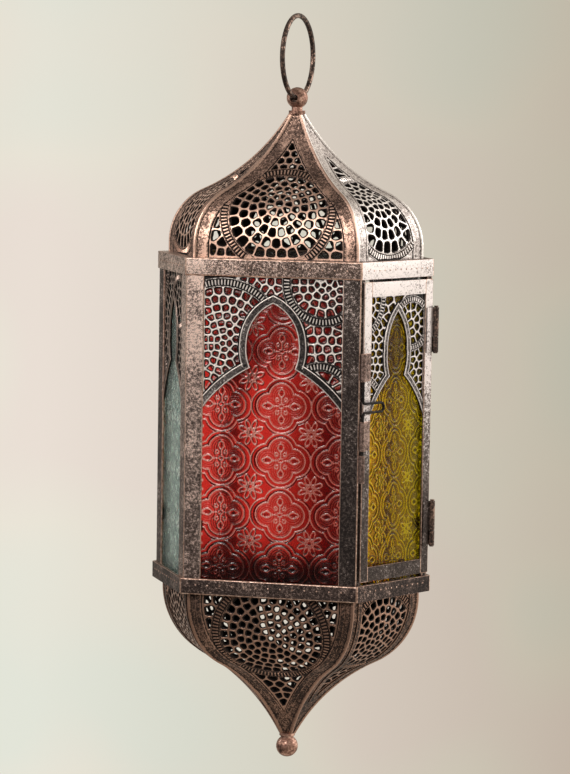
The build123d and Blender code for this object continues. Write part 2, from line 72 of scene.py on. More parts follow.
# %% [markdown]
# ## The camera
#
# A long lens about two metres away, a little to the right of the front and a little above the middle,
# so the lantern is seen almost without perspective. The place was worked out from the corners of the
# two bands. The long side of a picture of 570 by 774 is the one that the sensor's width is fitted to.

# %% Place the camera
camera_spot = Vector((0.41280, -1.80085, -0.03014))
camera_turn, camera_rise, camera_roll = [math.radians(a) for a in (13.0525, 5.8435, 0.8958)]
focal_pixels = 3104.83
picture_height = 774

backwards = Vector((
    math.sin(camera_turn) * math.cos(camera_rise),
    -math.cos(camera_turn) * math.cos(camera_rise),
    math.sin(camera_rise),
))
level = Vector((math.cos(camera_turn), math.sin(camera_turn), 0))
upright = backwards.cross(level)
rightwards = level * math.cos(camera_roll) + upright * math.sin(camera_roll)
upwards = upright * math.cos(camera_roll) - level * math.sin(camera_roll)
camera = bpy.data.objects.new("camera", bpy.data.cameras.new("camera"))
camera.data.lens = camera.data.sensor_width * focal_pixels / picture_height
camera.matrix_world = Matrix.Translation(camera_spot) @ (
    Matrix((rightwards, upwards, backwards)).transposed().to_4x4()
)
scene.collection.objects.link(camera)
scene.camera = camera
print("lens", round(camera.data.lens, 1), "mm")

# %% [markdown]
# ## The light
#
# The lantern hangs in a bright room: pale walls behind it and to the right, darker on the side where
# the camera stands. Metal shows what lies in its mirror direction, so the right-hand faces turn nearly
# white and the front stays dark. Lamps alone would give hard spots. A world whose brightness follows
# the direction gives that whole room, and shades its wall a little from left to right. Three large
# soft lamps, at the window, in front and at the left, then shape the edges.

# %% Node helpers
def add(tree, kind, inputs=None, **settings):
    """A shader node with its settings, and its inputs linked to sockets or set to values."""
    made = tree.nodes.new(kind)
    for name, value in settings.items():
        setattr(made, name, value)
    for name, value in (inputs or {}).items():
        if isinstance(value, bpy.types.NodeSocket):
            tree.links.new(value, made.inputs[name])
        else:
            made.inputs[name].default_value = value
    return made


def ramp(tree, value, stops):
    """A colour ramp: stops are (position, (r, g, b))."""
    made = add(tree, "ShaderNodeValToRGB", {"Fac": value})
    elements = made.color_ramp.elements
    while len(elements) < len(stops):
        elements.new(0.5)
    for element, (position, colour) in zip(elements, stops):
        element.position = position
        element.color = (*colour, 1)
    return made.outputs["Color"]


def dot(tree, one, other):
    return add(tree, "ShaderNodeVectorMath", {0: one, 1: other}, operation="DOT_PRODUCT").outputs["Value"]


def multiplied(tree, one, other):
    return add(tree, "ShaderNodeVectorMath", {0: one, 1: other}, operation="MULTIPLY").outputs["Vector"]


def mixed(tree, share, low, high):
    """A colour mix. Its colour sockets are named by place, since its number sockets share their names."""
    return add(tree, "ShaderNodeMix", {"Factor": share, 6: low, 7: high}, data_type="RGBA").outputs[2]


def share_of_turn(tree, cosine):
    """A cosine, from -1 to 1, as the share from 0 to 1 that a ramp takes."""
    return add(tree, "ShaderNodeMapRange", {"Value": cosine, "From Min": -1.0}).outputs["Result"]


print("helpers", [helper.__name__ for helper in (add, ramp, dot, multiplied, mixed, share_of_turn)])

# %% The world
world = bpy.data.worlds.new("studio")
scene.world = world
world.use_nodes = True
tree = world.node_tree
tree.nodes.clear()
direction = add(tree, "ShaderNodeTexCoord").outputs["Generated"]
towards_window = (0.70, 0.66, -0.28)
brightness = ramp(tree, share_of_turn(tree, dot(tree, direction, towards_window)), [
    (0.0, (0.06, 0.06, 0.06)),
    (0.34, (0.12, 0.115, 0.11)),
    (0.42, (0.30, 0.29, 0.28)),
    (0.49, (0.56, 0.55, 0.53)),
    (0.72, (0.82, 0.81, 0.79)),
    (1.0, (0.94, 0.93, 0.91)),
])
wall_blur = add(tree, "ShaderNodeTexNoise", {"Vector": direction, "Scale": 11.0, "Detail": 1.0})
wall_tint = ramp(tree, wall_blur.outputs["Fac"], [
    (0.36, (0.93, 0.96, 0.87)),
    (0.50, (1.00, 0.96, 0.86)),
    (0.64, (1.00, 0.91, 0.84)),
])
wall_shade = ramp(tree, share_of_turn(tree, dot(tree, direction, level)), [
    (0.46, (1.0, 1.0, 1.0)),
    (0.55, (0.62, 0.59, 0.54)),
    (0.68, (0.76, 0.75, 0.74)),
    (0.90, (1.0, 1.0, 1.0)),
])
room = multiplied(tree, multiplied(tree, brightness, wall_tint), wall_shade)
walls = add(tree, "ShaderNodeBackground", {"Color": room, "Strength": 1.0})
add(tree, "ShaderNodeOutputWorld", {"Surface": walls.outputs[0]})
print("world towards the window", towards_window)


# %% Lamps
def soft_lamp(name, spot, size, watts, colour):
    """A rectangular lamp that points at the lantern's middle."""
    lamp = bpy.data.objects.new(name, bpy.data.lights.new(name, "AREA"))
    lamp.data.shape = "RECTANGLE"
    lamp.data.size, lamp.data.size_y = size
    lamp.data.energy = watts
    lamp.data.color = colour
    lamp.location = spot
    lamp.rotation_mode = "QUATERNION"
    lamp.rotation_quaternion = (lantern_middle - Vector(spot)).to_track_quat("-Z", "Y")
    lamp.visible_camera = False
    scene.collection.objects.link(lamp)


lantern_middle = Vector((0, 0, -0.23))
soft_lamp("window", (1.39, 0.50, 0.38), (0.9, 1.1), 12, (1.0, 0.99, 0.98))
soft_lamp("front", (-0.42, -1.38, 0.47), (0.6, 0.6), 16, (1.0, 0.96, 0.92))
soft_lamp("left", (-1.30, -0.25, 0.25), (0.6, 0.9), 5, (1.0, 0.97, 0.93))

# %% [markdown]
# ## The floor
#
# The lantern hangs, so the floor is a pale disc well below it. It is not part of the lantern. It gives
# other views something to stand over, and a little light from below.

# %% Make the floor
def mesh_object(name, points, polygons, materials=()):
    mesh = bpy.data.meshes.new(name)
    mesh.from_pydata([tuple(p) for p in points], [], [tuple(map(int, f)) for f in polygons])
    mesh.update()
    made = bpy.data.objects.new(name, mesh)
    scene.collection.objects.link(made)
    for material in materials:
        mesh.materials.append(material)
    return made


def new_material(name):
    material = bpy.data.materials.new(name)
    material.use_nodes = True
    material.node_tree.nodes.clear()
    return material, material.node_tree


floor_material, tree = new_material("pale_floor")
cloud = add(tree, "ShaderNodeTexNoise", {"Scale": 4.0})
floor_tone = ramp(tree, cloud.outputs["Fac"], [(0.3, (0.70, 0.68, 0.63)), (0.7, (0.76, 0.73, 0.68))])
floor_shader = add(tree, "ShaderNodeBsdfPrincipled", {"Base Color": floor_tone, "Roughness": 0.7})
add(tree, "ShaderNodeOutputMaterial", {"Surface": floor_shader.outputs[0]})
floor_drop = 0.60
floor_radius = 0.55
floor_z = cad_box[0].z - floor_drop
circle_steps = 96
turns = [2 * math.pi * k / circle_steps for k in range(circle_steps)]
floor = mesh_object(
    "floor",
    [(floor_radius * math.cos(t), floor_radius * math.sin(t), floor_z) for t in turns],
    [range(circle_steps)],
    [floor_material],
)
print("floor at", round(floor_z, 3))

# %% [markdown]
# ## Antique copper
#
# The metal is copper that was blackened and then rubbed back: dark brown in the hollows, with a fine
# pinkish speckle, and bright copper on edges and raised work. Painting each piece by hand would not
# carry over to other pieces. So the speckle is a node group with named inputs, and each material
# places it with its own colours, grain and wear.

# %% The patina group
def group_of(name, inputs, outputs):
    """A shader node group with its sockets: inputs are (name, kind, value), outputs (name, kind)."""
    group = bpy.data.node_groups.new(name, "ShaderNodeTree")
    for socket, kind, value in inputs:
        group.interface.new_socket(socket, in_out="INPUT", socket_type=kind).default_value = value
    for socket, kind in outputs:
        group.interface.new_socket(socket, in_out="OUTPUT", socket_type=kind)
    return group, group.nodes.new("NodeGroupInput").outputs, group.nodes.new("NodeGroupOutput").inputs


COLOUR, NUMBER = "NodeSocketColor", "NodeSocketFloat"
patina, given, result = group_of(
    "patina",
    [
        ("Hollow", COLOUR, (0.02, 0.014, 0.012, 1)),
        ("Body", COLOUR, (0.10, 0.06, 0.045, 1)),
        ("Rubbed", COLOUR, (0.60, 0.32, 0.22, 1)),
        ("Grain", NUMBER, 800.0),
        ("Wear", NUMBER, 0.5),
    ],
    [("Color", COLOUR), ("Roughness", NUMBER), ("Height", NUMBER)],
)
place = add(patina, "ShaderNodeTexCoord").outputs["Object"]


def noise(share):
    """Noise at a share of the grain."""
    scale = add(patina, "ShaderNodeMath", {0: given["Grain"], 1: share}, operation="MULTIPLY")
    return add(patina, "ShaderNodeTexNoise", {
        "Vector": place, "Scale": scale.outputs[0], "Detail": 2.0, "Roughness": 0.6,
    }).outputs["Fac"]


def step_between(value, low, high):
    return add(patina, "ShaderNodeMapRange", {
        "Value": value, "From Min": low, "From Max": high,
    }, interpolation_type="SMOOTHSTEP").outputs[0]


def weighted(value, weight, rest=0.0):
    return add(patina, "ShaderNodeMath", {0: value, 1: weight, 2: rest}, operation="MULTIPLY_ADD").outputs[0]


fine = weighted(noise(1.0), 0.55)
speckle = weighted(noise(0.36), 0.45, fine)
patched = weighted(noise(0.03), 0.24, speckle)
shifted = add(patina, "ShaderNodeMath", {0: patched, 1: given["Wear"]}, operation="ADD").outputs[0]
body_levels, rubbed_levels = (0.96, 1.12), (1.11, 1.25)
worn = step_between(shifted, *rubbed_levels)
ground = mixed(patina, step_between(shifted, *body_levels), given["Hollow"], given["Body"])
patina.links.new(mixed(patina, worn, ground, given["Rubbed"]), result["Color"])
sheen = add(patina, "ShaderNodeMapRange", {"Value": worn, "To Min": 0.56, "To Max": 0.36})
patina.links.new(sheen.outputs[0], result["Roughness"])
patina.links.new(speckle, result["Height"])
print("group", patina.name, [s.name for s in patina.interface.items_tree])

# %% [markdown]
# ## The metal finishes
#
# One recipe makes every metal: the patina gives colour, roughness and the height of fine pitting. A
# sheet that has a rub mark stored at its points, bright on the lace and dark in the holes, feeds it
# into the wear, so that relief and polish agree wherever the light comes from. The wear can also run
# along a piece from one value to another, and that paints light and shade: the top of the door is
# painted nearly bare, a painted highlight, and its foot brown, a painted shade. Other pieces are
# painted paler towards the top or darker towards the right in the same way.

# %% The recipe for metal
def along(tree, way, span, ends):
    """A value that runs from one end to the other over a span of places along a direction."""
    where = add(tree, "ShaderNodeTexCoord").outputs["Object"]
    return add(tree, "ShaderNodeMapRange", {
        "Value": dot(tree, where, way),
        "From Min": span[0], "From Max": span[1], "To Min": ends[0], "To Max": ends[1],
    }, interpolation_type="SMOOTHSTEP").outputs[0]


def metal(name, hollow, body, rubbed, wear=0.5, grain=1800.0, pit_depth=0.0004, metallic=0.8,
          rub_span=None, painted_light_fade=None):
    """A copper finish. Fade is (direction, span in metres, values at the two ends).

    Its values are the wear itself, or what is added to the wear of a rub mark; they paint light and shade
    along the piece.
    """
    material, tree = new_material(name)
    if rub_span:
        mark = add(tree, "ShaderNodeAttribute", attribute_name="rub").outputs["Fac"]
        least, most = rub_span
        wear = add(tree, "ShaderNodeMapRange", {"Value": mark, "To Min": least, "To Max": most}).outputs[0]
    if painted_light_fade and rub_span:
        wear = add(tree, "ShaderNodeMath", {0: wear, 1: along(tree, *painted_light_fade)}, operation="ADD").outputs[0]
    elif painted_light_fade:
        wear = along(tree, *painted_light_fade)
    skin = add(tree, "ShaderNodeGroup", {
        "Hollow": (*hollow, 1), "Body": (*body, 1), "Rubbed": (*rubbed, 1), "Grain": grain, "Wear": wear,
    }, node_tree=patina)
    pits = add(tree, "ShaderNodeBump", {
        "Strength": 0.6, "Distance": pit_depth, "Height": skin.outputs["Height"],
    })
    shader = add(tree, "ShaderNodeBsdfPrincipled", {
        "Base Color": skin.outputs["Color"],
        "Roughness": skin.outputs["Roughness"],
        "Metallic": metallic,
        "Normal": pits.outputs["Normal"],
    })
    add(tree, "ShaderNodeOutputMaterial", {"Surface": shader.outputs[0]})
    return material


print("metal takes", [socket.name for socket in patina.interface.items_tree if socket.in_out == "INPUT"])

# %% Make the metals
soot = (0.018, 0.013, 0.012)
lamp_black = (0.012, 0.010, 0.010)
upward, rightward = (0, 0, 1), (1, 0, 0)
body_span = (-0.34, -0.15)
panel_lace = dict(grain=2000.0, rub_span=(0.22, 0.74))
fret_lace = dict(grain=2000.0, pit_depth=0.0003, rub_span=(0.20, 0.80))
wire = dict(grain=900.0, pit_depth=0.0002)

sheet_copper = metal("sheet_copper", soot, (0.105, 0.078, 0.068), (0.82, 0.67, 0.60), wear=0.45)
# A paler copy of the sheet copper for the front left post, lighter towards the top: painted light.
painted_light_sheet = metal("painted_light_sheet", soot, (0.120, 0.085, 0.074), (0.84, 0.63, 0.54),
                   painted_light_fade=(upward, body_span, (0.48, 0.57)))
# A darker copy for the front right post, lighter towards the top: painted shade below, painted light above.
painted_shade_sheet = metal("painted_shade_sheet", soot, (0.095, 0.072, 0.064), (0.80, 0.66, 0.60),
                   painted_light_fade=(upward, body_span, (0.37, 0.46)))
# The top band is painted paler at the left and darker towards the right: painted light and painted shade.
band_painted_shade = metal("band_painted_shade", soot, (0.130, 0.088, 0.072), (0.84, 0.64, 0.55),
                    painted_light_fade=(rightward, (-0.06, 0.05), (0.56, 0.47)))
# A darker copy of the band copper for the lower band, darker again towards the right: painted shade.
base_band_painted_shade = metal("base_band_painted_shade", soot, (0.088, 0.060, 0.052), (0.70, 0.50, 0.42),
                     painted_light_fade=(rightward, (0.03, 0.07), (0.46, 0.40)))
# A paler grey copy for the door side, nearly bare at the top and brown at the foot: painted light above and
# painted shade below.
door_painted_light = metal("door_painted_light", (0.032, 0.024, 0.021), (0.110, 0.083, 0.073), (0.68, 0.61, 0.59),
                    pit_depth=0.0003, painted_light_fade=(upward, (-0.32, -0.16), (0.39, 0.66)))
dome_copper = metal("dome_copper", soot, (0.150, 0.092, 0.072), (0.74, 0.48, 0.37), **panel_lace)
# A pale copy of the dome copper for the panel above the door: painted light.
dome_painted_light = metal("dome_painted_light", soot, (0.52, 0.45, 0.42), (0.86, 0.79, 0.75), **panel_lace)
# A darker copy of the dome copper for the lower panels: painted shade.
base_panel_painted_shade = metal("base_panel_painted_shade", soot, (0.060, 0.038, 0.030), (0.40, 0.235, 0.17), **panel_lace)
# The fret lace is painted darker towards the right: painted shade.
fret_painted_shade = metal("fret_painted_shade", lamp_black, (0.13, 0.11, 0.105), (0.92, 0.83, 0.78), **fret_lace,
                    painted_light_fade=(rightward, (-0.020, 0.030), (0.0, -0.10)))
# A darker copy of the lace for the front left fret: painted shade.
side_lace_painted_shade = metal("side_lace_painted_shade", lamp_black, (0.085, 0.062, 0.054), (0.42, 0.31, 0.26), **fret_lace)
# A greyer copy of the lace, with dimmer polish, for the door fret, toned to the light that falls on that
# side: painted light and painted shade.
door_lace_lit_copy = metal("door_lace_lit_copy", (0.010, 0.009, 0.009), (0.15, 0.13, 0.125), (0.62, 0.56, 0.54), **fret_lace)
guide_copper = metal("guide_copper", soot, (0.16, 0.105, 0.088), (0.40, 0.28, 0.24),
                     grain=1400.0, pit_depth=0.0003)
bright_copper = metal("bright_copper", (0.14, 0.08, 0.06), (0.46, 0.29, 0.22), (0.84, 0.60, 0.49),
                      wear=0.54, grain=1100.0, pit_depth=0.0002, metallic=0.9)
turned_copper = metal("turned_copper", (0.10, 0.055, 0.042), (0.36, 0.20, 0.15), (0.74, 0.47, 0.37),
                      grain=700.0, pit_depth=0.0003, metallic=0.9)
black_wire = metal("black_wire", (0.008, 0.007, 0.007), (0.026, 0.021, 0.019), (0.16, 0.12, 0.10),
                   wear=0.42, **wire)
dark_wire = metal("dark_wire", (0.014, 0.011, 0.010), (0.070, 0.048, 0.040), (0.34, 0.22, 0.17), **wire)
print("metals ready")

# %% [markdown]
# ## Pieces that keep their shape
#
# The posts, bands, door strips, hinges, latch, ring, knob and finial are right as they were built.
# A real folded edge is never knife sharp, and it is where the hand rubs the patina away. A bevel
# rounds the edges a little without touching the mesh, and gives its new faces the bright copper. The
# last modifier takes each flat face's own direction for shading, so that it has no dark corner.

# %% Finishes and soft edges
def dress(name, material, edge=None, width=0.30):
    """A finish for a construction piece, and another for the rounded edges, whose width is in millimetres."""
    piece = nodes[name]
    piece.data.materials.clear()
    piece.data.materials.append(material)
    for polygon in piece.data.polygons:
        polygon.material_index = 0
    if edge:
        piece.data.materials.append(edge)
    weld = piece.modifiers.new("weld", "WELD")
    weld.merge_threshold = 0.00001
    bevel = piece.modifiers.new("soft_edges", "BEVEL")
    bevel.width = width * MM
    bevel.segments = 2
    bevel.limit_method = "ANGLE"
    bevel.angle_limit = math.radians(35)
    if edge:
        bevel.material = 1
    shading = piece.modifiers.new("even_shading", "WEIGHTED_NORMAL")
    shading.weight = 100


def repaint(name, material, chosen):
    """Give the chosen faces of a dressed piece a third finish."""
    piece = nodes[name].data
    piece.materials.append(material)
    for polygon in piece.polygons:
        if chosen(polygon):
            polygon.material_index = 2


lean = math.radians(60)
knuckle_reach = 1.8 * MM
pin_low, pin_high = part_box("hinge_pins")
pin_middle = (pin_low + pin_high) / 2
door_way = Vector((math.sin(lean), -math.cos(lean), 0))


def on_leaf(polygon):
    return (polygon.center - pin_middle).xy.length > knuckle_reach


def on_door_side(polygon):
    return polygon.normal.dot(door_way) > 0.9


print("hinge pins at", [round(v / MM, 1) for v in pin_middle])

# %% Dress the construction pieces
sides = ("front", "front_right", "back_right", "back", "back_left", "front_left")
corner_names = ("front_left", "front_right", "right", "back_right", "back_left", "left")
for corner in corner_names:
    # The front left post takes the paler copy and the front right post the darker one: painted light and
    # painted shade.
    strip = {"front_left": painted_light_sheet, "front_right": painted_shade_sheet}.get(corner, sheet_copper)
    dress(f"post_{corner}", strip, bright_copper, width=0.42)
dress("top_band", band_painted_shade, bright_copper, width=0.7)
dress("base_band", base_band_painted_shade, bright_copper, width=0.7)
for name in ("door_stile_latch", "door_stile_hinge", "door_rail_top", "door_rail_bottom"):
    dress(name, door_painted_light, bright_copper)
for name in ("pane_tabs", "door_tabs", "floor_plate", "candle_cup"):
    dress(name, sheet_copper, bright_copper, width=0.12)
for height in ("upper", "lower"):
    dress(f"latch_guide_{height}", guide_copper, bright_copper, width=0.15)
    for owner, leaf in (("door", door_painted_light), ("post", sheet_copper)):
        name = f"hinge_{owner}_leaf_{height}"
        dress(name, dark_wire, sheet_copper, width=0.15)
        repaint(name, leaf, on_leaf)
dress("latch_socket", guide_copper, bright_copper, width=0.15)
for name in ("hanging_ring", "hinge_pins"):
    dress(name, dark_wire)
dress("latch_bolt", black_wire)
for name in ("top_knob", "finial"):
    dress(name, turned_copper)
# The top band's face on the door side takes the door's paler copy: painted light.
repaint("top_band", door_painted_light, on_door_side)
print("dressed", sum(1 for o in nodes.values() if o.modifiers))

# %% [markdown]
# ## The sides of the body
#
# All the lace and the glass lie on one of six flat sides or on a curved dome panel. A small class for
# each kind turns flat drawing measures (across, up and lift, in millimetres) into places in the frame,
# so that one drawing routine serves them all. The plan comes from the boxes of the two bands.

# %% Plan of the lantern
band_low, band_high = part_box("top_band")
narrow_side = band_high.y / MM / math.sin(lean)
wide_side = 2 * (band_high.x / MM - narrow_side * math.cos(lean))
roof = band_high.z / MM
lintel = band_low.z / MM
base, sill = [corner.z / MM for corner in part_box("base_band")]
wide_faces, door_face = ("front", "back"), "front_right"


def opening_of(face):
    """Half the clear width between the posts, or between the stiles of the door."""
    return 41.4 if face in wide_faces else 23.7 if face == door_face else 20.9


def owner_of(face, door_name, name):
    """The node's name and the body that carries it: the door has its own pane and fret."""
    return (door_name, "door") if face == door_face else (f"{name}_{face}", "lantern")


def plan(inset):
    """The corners of the six-sided plan, moved in by an inset, from the front left corner on."""
    shrink = 2 * inset * math.tan(lean / 2)
    half = (wide_side - shrink) / 2
    narrow = narrow_side - shrink
    deep = narrow * math.sin(lean)
    reach = half + narrow * math.cos(lean)
    return np.array([(-half, -deep), (half, -deep), (reach, 0), (half, deep), (-half, deep), (-reach, 0)])


def side_ends(face, inset):
    points = plan(inset)
    start = sides.index(face)
    return points[start], points[(start + 1) % 6]


def side_axes(face):
    left, right = side_ends(face, 0)
    run = (right - left) / np.linalg.norm(right - left)
    return np.array([*run, 0]), np.array([run[1], -run[0], 0])


def spread(name, face):
    """How far a construction piece reaches across, up and out along a side's own directions."""
    run, out = side_axes(face)
    points = np.array([v.co for v in nodes[name].data.vertices]) / MM
    across, away = points @ run, points @ out
    return (across.min(), across.max()), (points[:, 2].min(), points[:, 2].max()), (away.min(), away.max())


print("sides", round(wide_side, 2), round(narrow_side, 2), "roof", roof, "lintel", lintel)


# %% Flat sides
class FlatSide:
    """A flat sheet: across and up from a middle point, lift outwards."""

    def __init__(self, face, across, height, away):
        self.run, self.out = side_axes(face)
        self.middle = self.run * across + self.out * away + np.array([0, 0, height])
        self.turned_over = False

    def place(self, across, up, lift):
        spots = self.middle + np.outer(across, self.run) + np.outer(lift, self.out)
        spots[:, 2] += up
        return spots * MM


print("front side faces", FlatSide("front", 0, 0, 0).out)

# %% [markdown]
# The dome panels bend in one direction only, like paper, so a drawing laid on the flat sheet keeps its
# lengths when it is bent. The panel's line is a short upright skirt, an arc that bulges and an arc that
# hollows to the tip. Up is measured along that line, and each point is found by its length.

# %% Curved panels
class CurvedPanel:
    """A dome panel: across from the panel's axis, up along its line, lift off its surface."""

    def __init__(self, face, inset, foot, up, skirt, bulge_radius, bulge_angle, height, tip=4.4):
        self.run, self.out = side_axes(face)
        left, right = side_ends(face, inset)
        apothem = left @ self.out[:2]
        reach = plan(inset)[2][0]
        bend = math.radians(bulge_angle)
        pointing = np.array([math.cos(bend), math.sin(bend)])
        bulge = np.array([reach - bulge_radius, skirt])
        chord = np.array([tip, height]) - bulge - pointing * bulge_radius
        throat_radius = chord @ chord / (2 * chord @ pointing)
        throat = bulge + pointing * (bulge_radius + throat_radius)
        tip_angle = math.asin((throat[1] - height) / throat_radius)
        rise = np.linspace(0, skirt, 8)[:-1]
        swell = np.linspace(0, bend, 60)
        hollow = np.linspace(bend, tip_angle, 90)[1:]
        x = np.concatenate([
            np.full_like(rise, reach),
            bulge[0] + bulge_radius * np.cos(swell),
            throat[0] - throat_radius * np.cos(hollow),
        ]) * apothem / reach
        z = np.concatenate([
            rise,
            bulge[1] + bulge_radius * np.sin(swell),
            throat[1] - throat_radius * np.sin(hollow),
        ])
        self.x, self.z = x, z
        self.s = np.concatenate([[0], np.cumsum(np.hypot(np.diff(x), np.diff(z)))])
        dx, dz = np.gradient(x, self.s), np.gradient(z, self.s)
        self.nx, self.nz = dz, -dx
        self.foot, self.up_sign, self.turned_over = foot, up, up < 0
        self.length = self.s[-1]
        self.low, self.high = left @ self.run[:2] / apothem, right @ self.run[:2] / apothem

    def half_at(self, s):
        return np.interp(s, self.s, self.x)

    def middle_at(self, s):
        return self.half_at(s) * (self.low + self.high) / 2

    def place(self, across, up, lift):
        x, z = np.interp(up, self.s, self.x), np.interp(up, self.s, self.z)
        nx, nz = np.interp(up, self.s, self.nx), np.interp(up, self.s, self.nz)
        away = x + lift * nx
        spots = np.outer(away, self.out) + np.outer(across * away / x, self.run)
        spots[:, 2] += self.foot + self.up_sign * (z + lift * nz)
        return spots * MM


dome_shape = dict(inset=6.5, foot=roof, up=1, skirt=6.3, bulge_radius=34.2, bulge_angle=66.0, height=83.4)
base_shape = dict(inset=5.3, foot=base, up=-1, skirt=4.3, bulge_radius=44.2, bulge_angle=64.0, height=91.2)
print("panel lengths", [round(CurvedPanel("front", **shape).length, 1) for shape in (dome_shape, base_shape)])

# %% [markdown]
# ## Drawing the lace
#
# The lace is a net of rounded cells that crowd towards the middle of each circle and grow outwards.
# Drilling a regular grid would look machine made. Here each hole starts as a point; the room between
# it and its neighbours, and between it and the nearest borders, is a set of straight walls, and a soft
# minimum of those walls gives a cell with rounded corners and an even web of metal all round.

# %% Cells from points
hole_steps = 14
most_neighbours, neighbour_reach, border_reach = 12, 14, 9
hole_angles = np.arange(hole_steps) * 2 * math.pi / hole_steps
hole_rays = np.stack([np.cos(hole_angles), np.sin(hole_angles)], 1)
unit_circle = np.column_stack([np.cos(turns + [0]), np.sin(turns + [0])])


def nearest_on(line, spots):
    """For each spot the nearest point of an open line of points, and how far it is."""
    a, b = line[:-1], line[1:]
    stretch = b - a
    t = ((spots[:, None] - a) * stretch).sum(2) / (stretch ** 2).sum(1)
    close = a + np.clip(t, 0, 1)[..., None] * stretch
    far = np.linalg.norm(spots[:, None] - close, axis=2)
    best = far.argmin(1)
    rows = np.arange(len(spots))
    return close[rows, best], far[rows, best]


def cells(sites, borders, web, least, softness=7):
    """Rounded holes round the sites: (centre, radii along the rays) for those with room enough."""
    sites = np.asarray(sites)
    walls = [nearest_on(line, sites) for line in borders]
    made = []
    for index, site in enumerate(sites):
        gap = sites - site
        far = np.linalg.norm(gap, axis=1)
        near = [k for k in np.argsort(far)[1:most_neighbours + 1] if far[k] < neighbour_reach]
        normals = [gap[k] / far[k] for k in near]
        depths = [far[k] / 2 - web / 2 for k in near]
        for close, distance in walls:
            if distance[index] < border_reach:
                normals.append((close[index] - site) / max(distance[index], 1e-6))
                depths.append(distance[index] - web * 0.4)
        if not depths or min(depths) < least:
            continue
        pull = np.clip(hole_rays @ np.array(normals).T / np.array(depths), 0, None)
        radii = 1 / (pull ** softness).sum(1) ** (1 / softness)
        radii = np.minimum(radii, 2.2 * np.median(radii))
        made.append((site, radii))
    return made


print("rays per hole", hole_steps)

# %% [markdown]
# The points come from rings round a circle's middle, and from offset rows where no ring reaches. Both
# are uneven where a border cuts them off, so they are moved a few times to the middle of their room.

# %% Points for the cells
settling_step = 0.8


def settle(sites, kept, rounds=5):
    """Move each site to the middle of the room that it has, so that the cells fill the field evenly."""
    sites = np.asarray(sites, float)
    low, high = sites.min(0) - 3, sites.max(0) + 3
    columns, rows = [np.arange(low[k], high[k], settling_step) for k in (0, 1)]
    grid = np.stack(np.meshgrid(columns, rows), -1).reshape(-1, 2)
    grid = grid[kept(grid)]
    for _ in range(rounds):
        owner = ((grid[:, None] - sites) ** 2).sum(2).argmin(1)
        share = np.bincount(owner, minlength=len(sites))
        middle = np.stack([np.bincount(owner, grid[:, k], len(sites)) for k in (0, 1)], 1)
        sites = np.where(share[:, None] > 0, middle / np.maximum(share, 1)[:, None], sites)
    return sites


def rings(centre, outer, inner_pitch, outer_pitch, rise=0.0):
    """Points in rings, closer together towards a middle that lies a rise above the circle's centre."""
    spots, radius, odd = [], outer - outer_pitch * 0.52, 0
    while radius > inner_pitch * 0.6:
        pitch = inner_pitch + (outer_pitch - inner_pitch) * radius / outer
        count = max(5, round(2 * math.pi * radius / pitch))
        angles = (np.arange(count) + odd / 2) * 2 * math.pi / count
        lifted = centre[1] + rise * (1 - radius / outer)
        spots += [(centre[0] + radius * math.cos(a), lifted + radius * math.sin(a)) for a in angles]
        radius -= pitch * 0.90
        odd = 1 - odd
    return spots + [(centre[0], centre[1] + rise)]


def honeycomb(low, high, pitch):
    """Points in offset rows that fill a box."""
    spots = []
    for row, y in enumerate(np.arange(low[1], high[1], pitch * 0.866)):
        for x in np.arange(low[0] + (row % 2) * pitch / 2, high[0], pitch):
            spots.append((x, y))
    return spots


def inside(spots, loop):
    """Which spots are inside a closed loop of points."""
    spots, a = np.asarray(spots), np.asarray(loop)
    b = np.roll(a, -1, axis=0)
    hit = np.zeros(len(spots), bool)
    for (ax, ay), (bx, by) in zip(a, b):
        if ay != by:
            crosses = (ay > spots[:, 1]) != (by > spots[:, 1])
            hit ^= crosses & (spots[:, 0] < (bx - ax) * (spots[:, 1] - ay) / (by - ay) + ax)
    return hit


print("points in a circle of radius 30 mm", len(rings((0, 0), 30, 4, 6)))

# %% [markdown]
# ## From drawing to metal
#
# A pierced sheet has a front, a back, a rim, and for each hole a small slope and a wall. Boolean cuts
# with hundreds of holes are slow and leave poor faces. Filling the drawing once with constrained
# triangles, then joining front and back along each hole, gives clean metal. Each point also keeps a rub
# mark: high on the lace, middling on plain metal, nothing in the holes.

# %% Build sheets and strips
bare_rub, hole_rub = 1.0, -1.2


